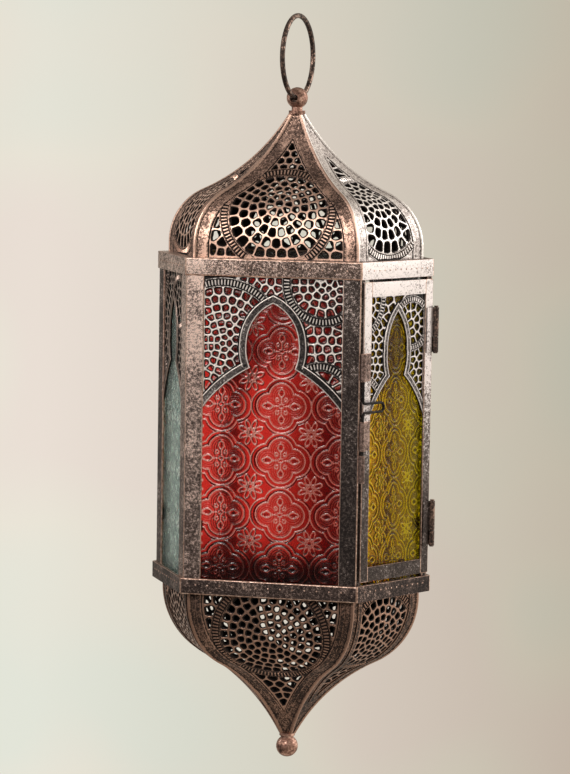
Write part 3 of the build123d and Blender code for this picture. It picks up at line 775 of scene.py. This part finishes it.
class Relief:
    """Gathers points (across, up, lift), faces and rub marks on one surface, and makes one mesh."""

    def __init__(self, surface):
        self.surface, self.points, self.faces, self.rub, self.count = surface, [], [], [], 0

    def put(self, flat, lift, rub):
        flat = np.asarray(flat, float)
        start = self.count
        self.points.append(np.column_stack([flat, np.broadcast_to(lift, len(flat))]))
        self.rub.append(np.broadcast_to(rub, len(flat)).astype(float))
        self.count += len(flat)
        return np.arange(start, self.count)

    def join(self, low, high, closed):
        """Quads between two rows of points."""
        size = len(low)
        for k in range(size if closed else size - 1):
            n = (k + 1) % size
            self.faces.append((low[k], low[n], high[n], high[k]))

    def fill(self, outline, holes, extra, lift, rub_rim, rub_hole, flip):
        loops = [outline] + holes
        flat = np.vstack(loops + ([extra] if len(extra) else []))
        edges, start = [], 0
        for loop in loops:
            edges += [(start + k, start + (k + 1) % len(loop)) for k in range(len(loop))]
            start += len(loop)
        spots, _, triangles, first, _, _ = delaunay_2d_cdt(
            [Vector(p) for p in flat], edges, [], 0, 1e-5
        )
        spots = np.array([(p.x, p.y) for p in spots])
        triangles = np.array(triangles)
        centres = spots[triangles].mean(1)
        keep = inside(centres, outline)
        for loop in holes:
            low, high = loop.min(0), loop.max(0)
            maybe = np.where(keep & (centres > low).all(1) & (centres < high).all(1))[0]
            if len(maybe):
                keep[maybe[inside(centres[maybe], loop)]] = False
        marks = np.full(len(flat), rub_rim)
        marks[len(outline):start] = rub_hole
        rub = np.array([marks[f[0]] if f else rub_rim for f in first])
        ids = self.put(spots, lift, rub)
        for t in triangles[keep]:
            a, b, c = spots[t]
            turn = (b[0] - a[0]) * (c[1] - a[1]) - (b[1] - a[1]) * (c[0] - a[0])
            t = t if (turn > 0) != flip else t[::-1]
            self.faces.append(tuple(ids[t]))

    def sheet(self, outline, holes, thick, slope, step, plain_rub):
        """The pierced sheet: holes are (centre, ridge radii), and slope down to the opening inside.

        Step spaces the points of the plain parts.
        """
        outer = [c + hole_rays * r[:, None] for c, r in holes]
        inner = [c + hole_rays * np.maximum(r - slope, 0.4 * r)[:, None] for c, r in holes]
        low, high = outline.min(0), outline.max(0)
        extra = np.array(honeycomb(low, high, step))
        extra = extra[inside(extra, outline)]
        extra = extra[nearest_on(np.vstack([outline, outline[:1]]), extra)[1] > step * 0.4]
        for c, r in holes:
            extra = extra[np.linalg.norm(extra - c, axis=1) > r.max() + 0.7]
        self.fill(outline, outer, extra, 0.0, plain_rub, bare_rub, False)
        self.fill(outline, inner, extra, -thick, 0.0, 0.0, True)
        for top, bottom in zip(outer, inner):
            a = self.put(top, 0.0, bare_rub)
            b = self.put(bottom, -0.5 * thick, hole_rub)
            c = self.put(bottom, -thick, hole_rub)
            self.join(b, a, True)
            self.join(c, b, True)
        self.join(self.put(outline, -thick, 0.0), self.put(outline, 0.0, plain_rub), True)

    def strip(self, line, section, closed=False):
        """A moulding along a line: section is (offset to the left, lift, rub), from right to left."""
        line = np.asarray(line, float)
        ahead = np.roll(line, -1, axis=0) - line
        behind = line - np.roll(line, 1, axis=0)
        if not closed:
            ahead[-1], behind[0] = behind[-1], ahead[0]
        ahead /= np.linalg.norm(ahead, axis=1)[:, None]
        behind /= np.linalg.norm(behind, axis=1)[:, None]
        normal = np.column_stack([-(ahead + behind)[:, 1], (ahead + behind)[:, 0]])
        normal /= np.maximum((normal ** 2).sum(1) / 2, 0.5)[:, None]
        rows = [self.put(line + normal * offset, lift, rub) for offset, lift, rub in section]
        for low, high in zip(rows[:-1], rows[1:]):
            self.join(low, high, closed)

    def bar(self, centre, way, length, width, lift):
        """A small bar with sloping sides, such as one twist of a rope."""
        other = np.array([-way[1], way[0]])
        corners = ((-0.5, -0.5), (0.5, -0.5), (0.5, 0.5), (-0.5, 0.5))
        foot = [centre + way * length * a + other * width * b for a, b in corners]
        top = [centre + way * length * a * 0.8 + other * width * b * 0.45 for a, b in corners]
        low, high = self.put(foot, 0.0, 0.3), self.put(top, lift, bare_rub)
        self.join(low, high, True)
        self.faces.append(tuple(high))

    def make(self, name, material, body, slot, *replaced):
        flat = np.vstack(self.points)
        spots = self.surface.place(flat[:, 0], flat[:, 1], flat[:, 2])
        faces = [f[::-1] for f in self.faces] if self.surface.turned_over else self.faces
        made = mesh_object(name, spots, faces, [material])
        made.data.attributes.new("rub", "FLOAT", "POINT").data.foreach_set("value", np.concatenate(self.rub))
        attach(made, body)
        if replaced:
            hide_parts(*replaced)
        return made


print("rub marks from", hole_rub, "to", bare_rub)

# %% Lay ropes
rope_pitch = 2.0


def runs_of(line, ok):
    """The stretches of a line whose points are all kept."""
    cuts = np.flatnonzero(np.diff(np.concatenate([[0], ok.astype(int), [0]])))
    return [line[a:b] for a, b in zip(cuts[::2], cuts[1::2]) if b - a > 2]


def rope(relief, centre, radius, width, keep, pitch=rope_pitch):
    """A twisted rope laid in a circle: a dark channel, fine edges and twists, only where it is kept."""
    count = round(2 * math.pi * radius / pitch)
    angles = np.arange(count) * 2 * math.pi / count
    way = np.column_stack([np.cos(angles), np.sin(angles)])
    centre = np.array(centre)
    across = np.linspace(-0.35, 0.35, 8) * width
    held = np.array([keep(centre + way * (radius + a)) for a in across])
    for k in np.flatnonzero(held.any(0)):
        low, high = across[held[:, k]][[0, -1]]
        relief.bar(centre + way[k] * (radius + (low + high) / 2), way[k], high - low, pitch * 0.56, 0.6)
    fine = np.linspace(2 * math.pi, 0, 181)
    circle = np.column_stack([np.cos(fine), np.sin(fine)])
    half = width / 2
    for run in runs_of(centre + circle * radius, keep(centre + circle * radius)):
        relief.strip(run, [(-half, 0.03, 0.0), (half, 0.03, 0.0)])
    for edge in (radius - half, radius + half):
        for run in runs_of(centre + circle * edge, keep(centre + circle * edge)):
            relief.strip(run, [(-0.4, 0, 0.1), (-0.2, 0.4, 0.6), (0.2, 0.4, 0.6), (0.4, 0, 0.1)])


print("a twist of rope every", rope_pitch, "mm")

# %% [markdown]
# ## The dome and the base
#
# Each panel has a raised bead at its seams, a plain border with a fine ridge, and inside it a twisted
# rope circle full of cells. More cells fill the peak above the circle and the corners below it. The
# circle is wider than the narrow panels, so the borders cut it off at the sides there.

# %% A pierced panel
panel_border, rope_width = 8.6, 5.0
foot_edge, foot_margin = 0.8, 0.6
far_off = 200.0


def panel_lines(surface, border):
    """The panel's outline as left and right edges, moved in by a border, foot to tip."""
    s = np.linspace(0, surface.length, 70)
    x = surface.half_at(s)
    slope = np.gradient(x, s)
    left = np.column_stack([surface.low * x + border * np.hypot(1, surface.low * slope), s])
    right = np.column_stack([surface.high * x - border * np.hypot(1, surface.high * slope), s])
    fits = right[:, 0] - left[:, 0] > 1.0
    return left[fits], right[fits]


def pierced_panel(name, face, shape, ring_rise, ring_radius, pitches, ring_lift, moulding):
    surface = CurvedPanel(face, **shape)
    relief = Relief(surface)
    left, right = panel_lines(surface, 0)
    outline = np.vstack([left, right[::-1]])
    outline = outline[::-1] if np.cross(right[0] - left[0], left[1] - left[0]) < 0 else outline
    field_left, field_right = panel_lines(surface, panel_border)
    field = np.vstack([field_left, field_right[::-1]])
    foot_line = np.array([(-far_off, foot_edge), (far_off, foot_edge)])
    edges = [field_left, field_right, foot_line]
    centre = np.array([surface.middle_at(ring_rise), ring_rise])
    inner_radius = ring_radius - rope_width

    def kept(spots):
        return inside(spots, field) & (spots[:, 1] > foot_margin)

    def in_ring(spots):
        return kept(spots) & (np.linalg.norm(spots - centre, axis=1) < inner_radius)

    def past_ring(spots, margin=0.0):
        return kept(spots) & (np.linalg.norm(spots - centre, axis=1) > ring_radius + margin)

    within = np.array(rings(centre, inner_radius, *pitches, ring_lift))
    within = settle(within[in_ring(within)], in_ring, rounds=2)
    beyond = np.array(honeycomb((-60, 3.0), (60, surface.length), pitch=5.4))
    beyond = settle(beyond[past_ring(beyond, margin=1.8)], past_ring)
    holes = cells(within, edges + [centre + unit_circle * inner_radius], web=0.55, least=1.0)
    holes += cells(beyond, edges + [centre + unit_circle * ring_radius], web=0.6, least=1.0)
    relief.sheet(outline, holes, thick=1.0, slope=0.8, step=4.5, plain_rub=0.55)
    rope(relief, centre, ring_radius - rope_width / 2, rope_width, kept)
    for start, section in moulding:
        for line, hand in zip(panel_lines(surface, start), (-1, 1)):
            relief.strip(line, [(hand * inward, lift, rub) for inward, lift, rub in section][::hand])
    # The dome panel above the door takes the pale copy: painted light.
    # The lower panels take the darker copy: painted shade.
    finish = base_panel_painted_shade if surface.turned_over else dome_painted_light if face == door_face else dome_copper
    made = relief.make(name, finish, "lantern", "antique_copper", name)
    return len(made.data.polygons), len(holes)


print("border", panel_border, "rope", rope_width)

# %% Make the twelve panels
# A moulding's section is a list of (distance inwards, lift, rub mark).
bead = [(0.0, -0.2, 0.3), (0.0, 0.7, 0.95), (0.8, 0.65, 0.95), (1.4, 0.3, 0.6), (1.7, 0.0, 0.2)]
ridge = [(-0.7, 0.0, 0.25), (-0.35, 0.4, 0.62), (0.35, 0.4, 0.62), (0.6, 0.02, 0.0), (1.0, 0.02, 0.0)]
rim = [
    (-1.9, 0.02, 0.0), (-1.5, 0.7, 0.8), (-1.1, 0.72, 0.52),
    (1.0, 0.75, 0.52), (1.3, 0.72, 0.8), (1.7, 0.0, 0.1),
]
# For each of dome and base: the pitches of the cells, the lift of their middle, and the mouldings
# with their distances from the seam
dome_lace = ((3.8, 6.7), 8.0, [(0.0, bead), (7.8, ridge)])
base_lace = ((4.4, 5.6), 2.0, [(0.0, bead), (6.4, rim)])
# The rope circle's rise and radius, on the wide panels and on the narrow ones
dome_rings, base_rings = ((27.2, 34.5), (30.5, 32.0)), ((24.5, 36.0), (25.0, 30.0))
for face in sides:
    narrow = face not in wide_faces
    for part, shape, circles, lace in (
        ("dome", dome_shape, dome_rings, dome_lace),
        ("base", base_shape, base_rings, base_lace),
    ):
        name = f"{part}_panel_{face}"
        print(name, pierced_panel(name, face, shape, *circles[narrow], *lace))

# %% [markdown]
# ## The arch frets
#
# In each side a pierced plate hangs below the top band, cut to an arch with a pointed, lobed head. A
# plain raised trim follows the arch. Above it the cells run in rings round several rope circles of
# different sizes. The arch is drawn with arcs through three points, as the construction model has it.

# %% Arch drawing
def arc_through(a, b, c, count):
    """Points on the arc from a through b to c."""
    (ax, ay), (bx, by), (cx, cy) = a, b, c
    d = 2 * (ax * (by - cy) + bx * (cy - ay) + cx * (ay - by))
    ux = ((ax**2 + ay**2) * (by - cy) + (bx**2 + by**2) * (cy - ay) + (cx**2 + cy**2) * (ay - by)) / d
    uy = ((ax**2 + ay**2) * (cx - bx) + (bx**2 + by**2) * (ax - cx) + (cx**2 + cy**2) * (bx - ax)) / d
    radius = math.hypot(ax - ux, ay - uy)
    start, mid, end = [math.atan2(p[1] - uy, p[0] - ux) for p in (a, b, c)]
    sweep = (end - start) % (2 * math.pi)
    if (mid - start) % (2 * math.pi) > sweep:
        sweep -= 2 * math.pi
    t = start + np.linspace(0, 1, count) * sweep
    return np.column_stack([ux + radius * np.cos(t), uy + radius * np.sin(t)])


# How far the arch's points lie below the top band
apex_drop, lobe_drop, waist_drop, toe_drop = 15.4, 37.8, 53.2, 77.2


def arch_half(lobe, waist, foot, shift, grow):
    """Right half of an arch, apex down to the toe, heights from the top band's lower edge."""
    apex = np.array([0, -(apex_drop + shift) + grow])
    wide = np.array([lobe + grow, -(lobe_drop + shift)])
    nip = np.array([waist + grow, -(waist_drop + shift) + grow * math.tan(lean / 2)])
    toe = np.array([foot, -(toe_drop + shift) + grow / math.cos(lean * 0.75)])
    shoulder = (wide[0] * 0.74, apex[1] + (wide[1] - apex[1]) * 0.44)
    heel = (nip[0] + (wide[0] - nip[0]) * 0.96, wide[1] + (nip[1] - wide[1]) * 0.52)
    flare = toe - nip
    bow = (nip + toe) / 2 + np.array([-flare[1], flare[0]]) * 0.06
    return np.vstack([
        arc_through(apex, shoulder, wide, 16)[:-1],
        arc_through(wide, heel, nip, 9)[:-1],
        arc_through(nip, bow, toe, 14),
    ])


def whole_arch(*sizes):
    half = arch_half(*sizes)
    return np.vstack([half[::-1] * (-1, 1), half[1:]])


print("arch points", len(whole_arch(15.4, 13.2, 41.4, 0, 0)))

# %% A pierced fret
trim_rub = 0.41


def arch_fret(name, face, body, shares, shift, circles, field_top):
    across, height, away = spread(name, face)
    half = (across[1] - across[0]) / 2
    opening = opening_of(face)
    relief = Relief(FlatSide(face, sum(across) / 2, lintel, away[1]))
    lobe, waist, trim = [opening * share for share in shares]
    arch = whole_arch(lobe, waist, opening, shift, 0)
    border = whole_arch(lobe, waist, opening, shift, trim)
    top = height[1] - lintel
    drop = arch[-1][1] - (half - opening)
    outline = np.vstack([arch, [(half, drop), (half, top)], [(-half, top), (-half, drop)]])
    field = np.vstack([border, [(opening, field_top), (-opening, field_top)]])
    posts = [np.array([(x, -far_off), (x, 60.0)]) for x in (opening, -opening)]
    edges = [border, *posts, np.array([(-far_off, field_top), (far_off, field_top)])]
    pitches, slope = ((4.2, 5.7), 0.9) if face in wide_faces else ((4.2, 4.9), 0.75)

    def kept(spots):
        return inside(spots, field)

    holes, used = [], []
    for (x, y), radius, width in circles:
        centre = np.array([x, y + field_top])
        inner = radius - width / 2

        def in_ring(spots):
            return kept(spots) & (np.linalg.norm(spots - centre, axis=1) < inner)

        within = np.array(rings(centre, inner, *pitches))
        within = settle(within[in_ring(within)], in_ring, rounds=3)
        holes += cells(within, edges + [centre + unit_circle * inner], web=0.4, least=0.9)
        used.append((centre, radius, width / 2))

    def between_rings(spots):
        clear = [np.linalg.norm(spots - c, axis=1) > r + w for c, r, w in used]
        return kept(spots) & np.all(clear, axis=0)

    beyond = np.array(honeycomb((-opening, -90), (opening, field_top), pitches[1]))
    beyond = settle(beyond[between_rings(beyond)], between_rings)
    holes += cells(beyond, edges + [c + unit_circle * (r + w) for c, r, w in used], web=0.4, least=0.9)
    relief.sheet(outline, holes, thick=0.8, slope=slope, step=4.0, plain_rub=0.2)
    for centre, radius, half_rope in used:
        rope(relief, centre, radius, 2 * half_rope, kept, pitch=1.9)
    relief.strip(arch, [
        (0.05, -0.1, 0.2), (0.2, 0.55, 1.0), (0.6, 0.58, 1.0), (0.8, 0.48, trim_rub),
        (trim - 1.2, 0.48, trim_rub), (trim - 1.0, 0.58, 1.0), (trim - 0.6, 0.55, 1.0),
        (trim - 0.4, 0.02, 0.0), (trim + 0.4, 0.02, 0.0),
    ])
    # The door fret takes the copy toned for its lamp-lit side: painted light and painted shade.
    # The front left fret takes the darker copy of the lace: painted shade.
    finish = door_lace_lit_copy if body == "door" else side_lace_painted_shade if face == "front_left" else fret_painted_shade
    made = relief.make(name, finish, body, "antique_copper", name)
    return len(made.data.polygons), len(holes)


print("openings", [2 * opening_of(face) for face in sides])

# %% Make the six frets
# Rope circles: (across, up) from the middle of the field's top, then the radius and width of the rope
wide_circles = [((-30.0, -39.4), 35.8, 4.9), ((29.7, -3.3), 21.9, 4.9), ((28.8, -69.0), 18.0, 4.9)]
narrow_circles = [((-35.5, -1.0), 22.5, 3.6), ((12.6, -17.0), 14.4, 3.6), ((-30.0, -62.5), 15.5, 3.6)]
# The arch's lobe, waist and trim, as shares of half the opening
wide_fret, narrow_fret = (0.372, 0.319, 0.121), (0.359, 0.266, 0.160)
door_shift, door_rail = 3.8, 10.0
for face in sides:
    name, body = owner_of(face, "door_fret", "fret")
    shares, circles = (wide_fret, wide_circles) if face in wide_faces else (narrow_fret, narrow_circles)
    shift, field_top = (door_shift, -door_rail) if body == "door" else (0.0, 0.0)
    print(name, arch_fret(name, face, body, shares, shift, circles, field_top))

# %% [markdown]
# ## Rows of dots on the bands
#
# A row of small punched dots runs along each band. Each is a low dome of sheet that a blunt punch has
# driven out from behind. They are far too many to model by hand, so one dome is drawn as two rings and
# a top, and set along every side. The wide sides have them further apart than the narrow ones. The lower
# band's back has none, because they would stand out past the construction model there.

# %% Punch the dots
dot_steps = 8
wide_pitch, narrow_pitch, end_room = 7.3, 4.7, 6


def punched_dots(surface, spots, radius=0.55, lift=0.28):
    """Points and faces of low round domes on a surface."""
    points, polygons = [], []
    angles = np.arange(dot_steps) * 2 * math.pi / dot_steps
    for x, y in spots:
        start = len(points)
        for share, height in ((1.0, -0.05), (0.72, 0.7 * lift)):
            reach = share * radius
            level_lift = np.full(dot_steps, height)
            points += list(surface.place(x + reach * np.cos(angles), y + reach * np.sin(angles), level_lift))
        points += list(surface.place(np.array([x]), np.array([y]), np.array([lift])))
        upper = start + dot_steps
        for k in range(dot_steps):
            n = (k + 1) % dot_steps
            polygons.append((start + k, start + n, upper + n, upper + k))
            polygons.append((upper + k, upper + n, upper + dot_steps))
    return points, polygons


for band_name, drop_share, skipped in (("top_band", 0.5, ()), ("base_band", 0.4, ("back",))):
    all_points, all_faces = [], []
    for face in sides:
        if face in skipped:
            continue
        across, height, away = spread(band_name, face)
        length, pitch = (wide_side, wide_pitch) if face in wide_faces else (narrow_side, narrow_pitch)
        left, right = side_ends(face, 0)
        middle_across = (left + right) @ side_axes(face)[0][:2] / 2
        surface = FlatSide(face, middle_across, height[1] - drop_share * (height[1] - height[0]), away[1])
        count = int((length - end_room) / pitch)
        row = (np.arange(count) - (count - 1) / 2) * pitch
        points, polygons = punched_dots(surface, [(x, 0.0) for x in row])
        all_faces += [tuple(k + len(all_points) for k in f) for f in polygons]
        all_points += points
    made = mesh_object(f"{band_name}_dots", all_points, all_faces, [bright_copper])
    made.data.polygons.foreach_set("use_smooth", [True] * len(all_faces))
    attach(made, "lantern")
    print(made.name, len(all_faces), "faces")

# %% [markdown]
# ## The figured glass
#
# The panes are pressed glass with a raised figure: quatrefoils in rows, each drawn with a double line,
# with leaf buds and small scrolls inside, and eight-petalled rosettes between them. Painting lines on
# a flat pane would not catch the light, so the front is a fine grid raised by a height function, and
# the back stays flat. The lines then bend what is seen through them, as pressed glass does. The figure's
# height is also stored at each point, and the colour follows it: raised lines are painted paler, a
# painted highlight, and grooves darker, a painted shade, more on one side of each outline. The red
# and the amber pane are also painted darker towards one end, a painted shade.

# %% Glass finishes
def tinted_glass(name, groove_shade, tint, line, clear, deep=None, shade_spans=(), bending=1.46):
    """A glass finish: colours of the grooves, the ground, the lines and the pane's flat back.

    Deep is (ground, lines, back) where the colour is darker, a painted shade, at the end of each span along a
    direction.
    """
    material, tree = new_material(name)
    where = add(tree, "ShaderNodeTexCoord").outputs["Object"]
    mark = add(tree, "ShaderNodeAttribute", attribute_name="figure").outputs["Fac"]
    streak = add(tree, "ShaderNodeTexNoise", {"Vector": where, "Scale": 1400.0, "Detail": 2.0})
    uneven = {0: streak.outputs["Fac"], 1: 0.14, 2: mark}
    broken = add(tree, "ShaderNodeMath", uneven, operation="MULTIPLY_ADD").outputs[0]

    def figure_colours(tint, line, clear):
        # The grooves are painted darker, a painted shade, and the lines and their tops paler, a painted
        # highlight.
        bright = [(a + b) / 2 for a, b in zip(line, clear)]
        return ramp(tree, broken, [
            (0.14, groove_shade), (0.30, tint), (0.36, tint), (0.46, line),
            (0.56, bright), (0.64, bright), (0.85, clear),
        ])

    colour = figure_colours(tint, line, clear)
    # The pane is painted darker towards the end of each span: painted shade.
    if deep:
        share = 0.0
        for way, span in shade_spans:
            reached = along(tree, way, span, (0.0, 1.0))
            share = add(tree, "ShaderNodeMath", {0: reached, 1: share}, operation="MAXIMUM").outputs[0]
        colour = mixed(tree, share, colour, figure_colours(*deep))
    ripple = add(tree, "ShaderNodeBump", {
        "Strength": 0.3, "Distance": 0.0002, "Height": streak.outputs["Fac"],
    })
    shader = add(tree, "ShaderNodeBsdfPrincipled", {
        "Base Color": colour,
        "Roughness": 0.20,
        "IOR": bending,
        "Specular IOR Level": 0.15,
        "Transmission Weight": 0.96,
        "Normal": ripple.outputs["Normal"],
    })
    add(tree, "ShaderNodeOutputMaterial", {"Surface": shader.outputs[0]})
    return material


# The red pane is painted darker towards the right and the bottom, and the amber pane towards its back edge:
# painted shade.
red_glass = tinted_glass(
    "red_glass", (0.008, 0.0, 0.0), (1.0, 0.0030, 0.0020), (1.0, 0.12, 0.09), (1.0, 0.70, 0.66),
    ((0.060, 0.0, 0.0), (0.42, 0.03, 0.02), (0.55, 0.22, 0.20)),
    [(rightward, (-0.014, 0.034)), ((0, 0, -1), (0.285, 0.330))],
)
amber_glass = tinted_glass(
    "amber_glass", (0.030, 0.016, 0.0), (0.46, 0.150, 0.0), (1.0, 0.50, 0.0), (1.0, 0.84, 0.010),
    ((0.09, 0.065, 0.0), (0.50, 0.33, 0.0), (0.92, 0.76, 0.010)),
    [((0.5, 0.866, 0), (-0.005, 0.040))],
    bending=1.22,
)
green_glass = tinted_glass(
    "green_glass", (0.16, 0.28, 0.26), (0.60, 0.92, 0.85), (0.80, 0.98, 0.94), (0.92, 0.99, 0.98),
)
clear_glass = tinted_glass(
    "clear_glass", (0.62, 0.64, 0.63), (0.97, 0.98, 0.97), (0.99, 0.99, 0.99), (0.98, 0.98, 0.98),
)
print("glass ready")


# %% The figure of the glass
# The front of the pane carries the tint and the back is pale, so that a raised line can be painted paler
# than the rest, a painted highlight: light passes both faces, and a tinted back would colour the lines as
# well.
# One repeat of the figure, across and up, on the wide panes and on the narrow ones.
figure_repeat, narrow_repeat = (35.9, 31.9), (23.7, 30.8)


def bump_at(distance, half_width):
    """Height of a rounded raised line where its distance is nought."""
    return np.sqrt(np.clip(1 - (distance / half_width) ** 2, 0, None))


def figure(x, y, half_line):
    """Raised lines and sunk grooves of the glass, x and y in millimetres from a quatrefoil's middle.

    Each line is a distance that is nought along it: the quatrefoil's two outlines, the small lozenge and
    scrolls at its middle with four stalks, four buds, and the petals and eye of the rosettes between.
    """
    wide, high = figure_repeat
    from_x, from_y = x - wide * np.round(x / wide), y - high * np.round(y / high)
    qx, qy = np.abs(from_x), np.abs(from_y)
    foil = np.minimum(np.hypot(qx - 7.6, qy) - 7.0, np.hypot(qx, qy - 6.0) - 7.3)
    outer = np.minimum(np.hypot(qx - 8.3, qy) - 9.55, np.hypot(qx, qy - 6.0) - 9.9)
    lines = [foil, outer, np.abs(qx + qy - 1.7) * 0.7, np.hypot(qx - 2.6, qy - 3.7) - 1.0]
    lines.append(np.where((qx > 1.7) & (qx < 5.0), qy, 9))
    lines.append(np.where((qy > 1.7) & (qy < 5.2), qx, 9))
    buds = []
    for cx, cy, a, b in ((8.1, 0, 3.2, 1.9), (0, 7.75, 1.7, 2.6)):
        bud = ((np.abs(qx - cx) / a) ** 1.4 + (np.abs(qy - cy) / b) ** 1.4) ** (1 / 1.4) - 1
        buds.append(bud)
        lines.append(bud * 1.7)
    rx, ry = x - wide * (np.floor(x / wide) + 0.5), y - high * (np.floor(y / high) + 0.5)
    radius, angle = np.hypot(rx, ry), np.arctan2(ry, rx)
    petal_angle = (angle % (math.pi / 4)) - math.pi / 8
    out, aside = radius * np.cos(petal_angle), np.abs(radius * np.sin(petal_angle))
    lines.append((np.hypot((out - 4.9) / 2.6, aside / 1.25) - 1) * 1.7)
    lines.append((radius - 1.4) * 1.3)
    raised = np.max([bump_at(d, half_line) for d in lines], axis=0)
    # The sunk grooves beside the outlines are darkened more on one side than the other: painted shade.
    shade_side = np.clip(0.5 - 0.5 * (from_x - from_y) / 12, 0.1, 1)
    sunk = np.maximum(bump_at(foil - 0.85, 0.42) * shade_side, bump_at(outer - 0.8, 0.42) * (1.1 - shade_side))
    sunk = np.maximum(sunk, np.max([0.8 * np.clip(-b * 1.5, 0, 1) for b in buds], axis=0) * 0.6)
    hatching = np.where(foil < -0.5, 0.22 * np.sin(foil * 2 * math.pi / 1.3) * (foil > -5.5), 0)
    return np.clip(0.5 + hatching + 0.5 * raised - 0.5 * sunk * (raised < 0.2), 0, 1)


print("figure at a quatrefoil's middle", round(float(figure(np.zeros(1), np.zeros(1), 0.46)[0]), 2))


# %% A figured pane
def figured_pane(name, face, body, material, slot, origin, scale, opening, step=0.42, raised=0.55):
    """A pane with the figure raised on its front, in a fine grid over the opening, and a flat back."""
    across, height, away = spread(name, face)
    surface = FlatSide(face, sum(across) / 2, lintel, away[1])
    half = (across[1] - across[0]) / 2
    columns = np.concatenate([[-half], np.arange(-opening, opening, step), [half]])
    low, top = height[0] - lintel, height[1] - lintel
    rows = np.concatenate([[low], np.arange(sill - lintel, min(0.0, top - 1), step), [top]])
    x, y = [grid.ravel() for grid in np.meshgrid(columns, rows)]
    half_line = 0.46 * (scale[0] + scale[1]) / 2
    mark = figure((x - origin[0]) * scale[0], (y - origin[1]) * scale[1], half_line)
    front = surface.place(x, y, raised * (mark - 1) - 0.02)
    ids = np.arange(len(x)).reshape(len(rows), len(columns))
    quads = np.stack([ids[:-1, :-1], ids[:-1, 1:], ids[1:, 1:], ids[1:, :-1]], -1).reshape(-1, 4)
    rim = np.concatenate([ids[0, :-1], ids[:-1, -1], ids[-1, :0:-1], ids[:0:-1, 0]])
    back = surface.place(x[rim], y[rim], np.full(len(rim), away[0] - away[1]))
    around = np.arange(len(rim))
    walls = np.stack([rim, len(x) + around, len(x) + np.roll(around, -1), np.roll(rim, -1)], -1)
    faces = [*quads, *walls, len(x) + around[::-1]]
    made = mesh_object(name, np.vstack([front, back]), faces, [material])
    made.data.polygons.foreach_set("use_smooth", [True] * len(quads) + [False] * (len(walls) + 1))
    marks = np.concatenate([0.5 * mark, np.full(len(rim), 1.0)])
    made.data.attributes.new("figure", "FLOAT", "POINT").data.foreach_set("value", marks)
    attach(made, body)
    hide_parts(name)
    return len(made.data.polygons)


# %% Make the panes
tints = {
    "front": (red_glass, "red_glass"),
    "front_right": (amber_glass, "amber_glass"),
    "front_left": (green_glass, "green_glass"),
}
for face in sides:
    name, body = owner_of(face, "door_glass", "glass")
    tint = tints.get(face, (clear_glass, "clear_glass"))
    origin, repeat = ((5.5, -43.2), figure_repeat) if face in wide_faces else ((0.8, -102.4), narrow_repeat)
    scale = [whole / own for whole, own in zip(figure_repeat, repeat)]
    print(name, figured_pane(name, face, body, *tint, origin, scale, opening_of(face)))
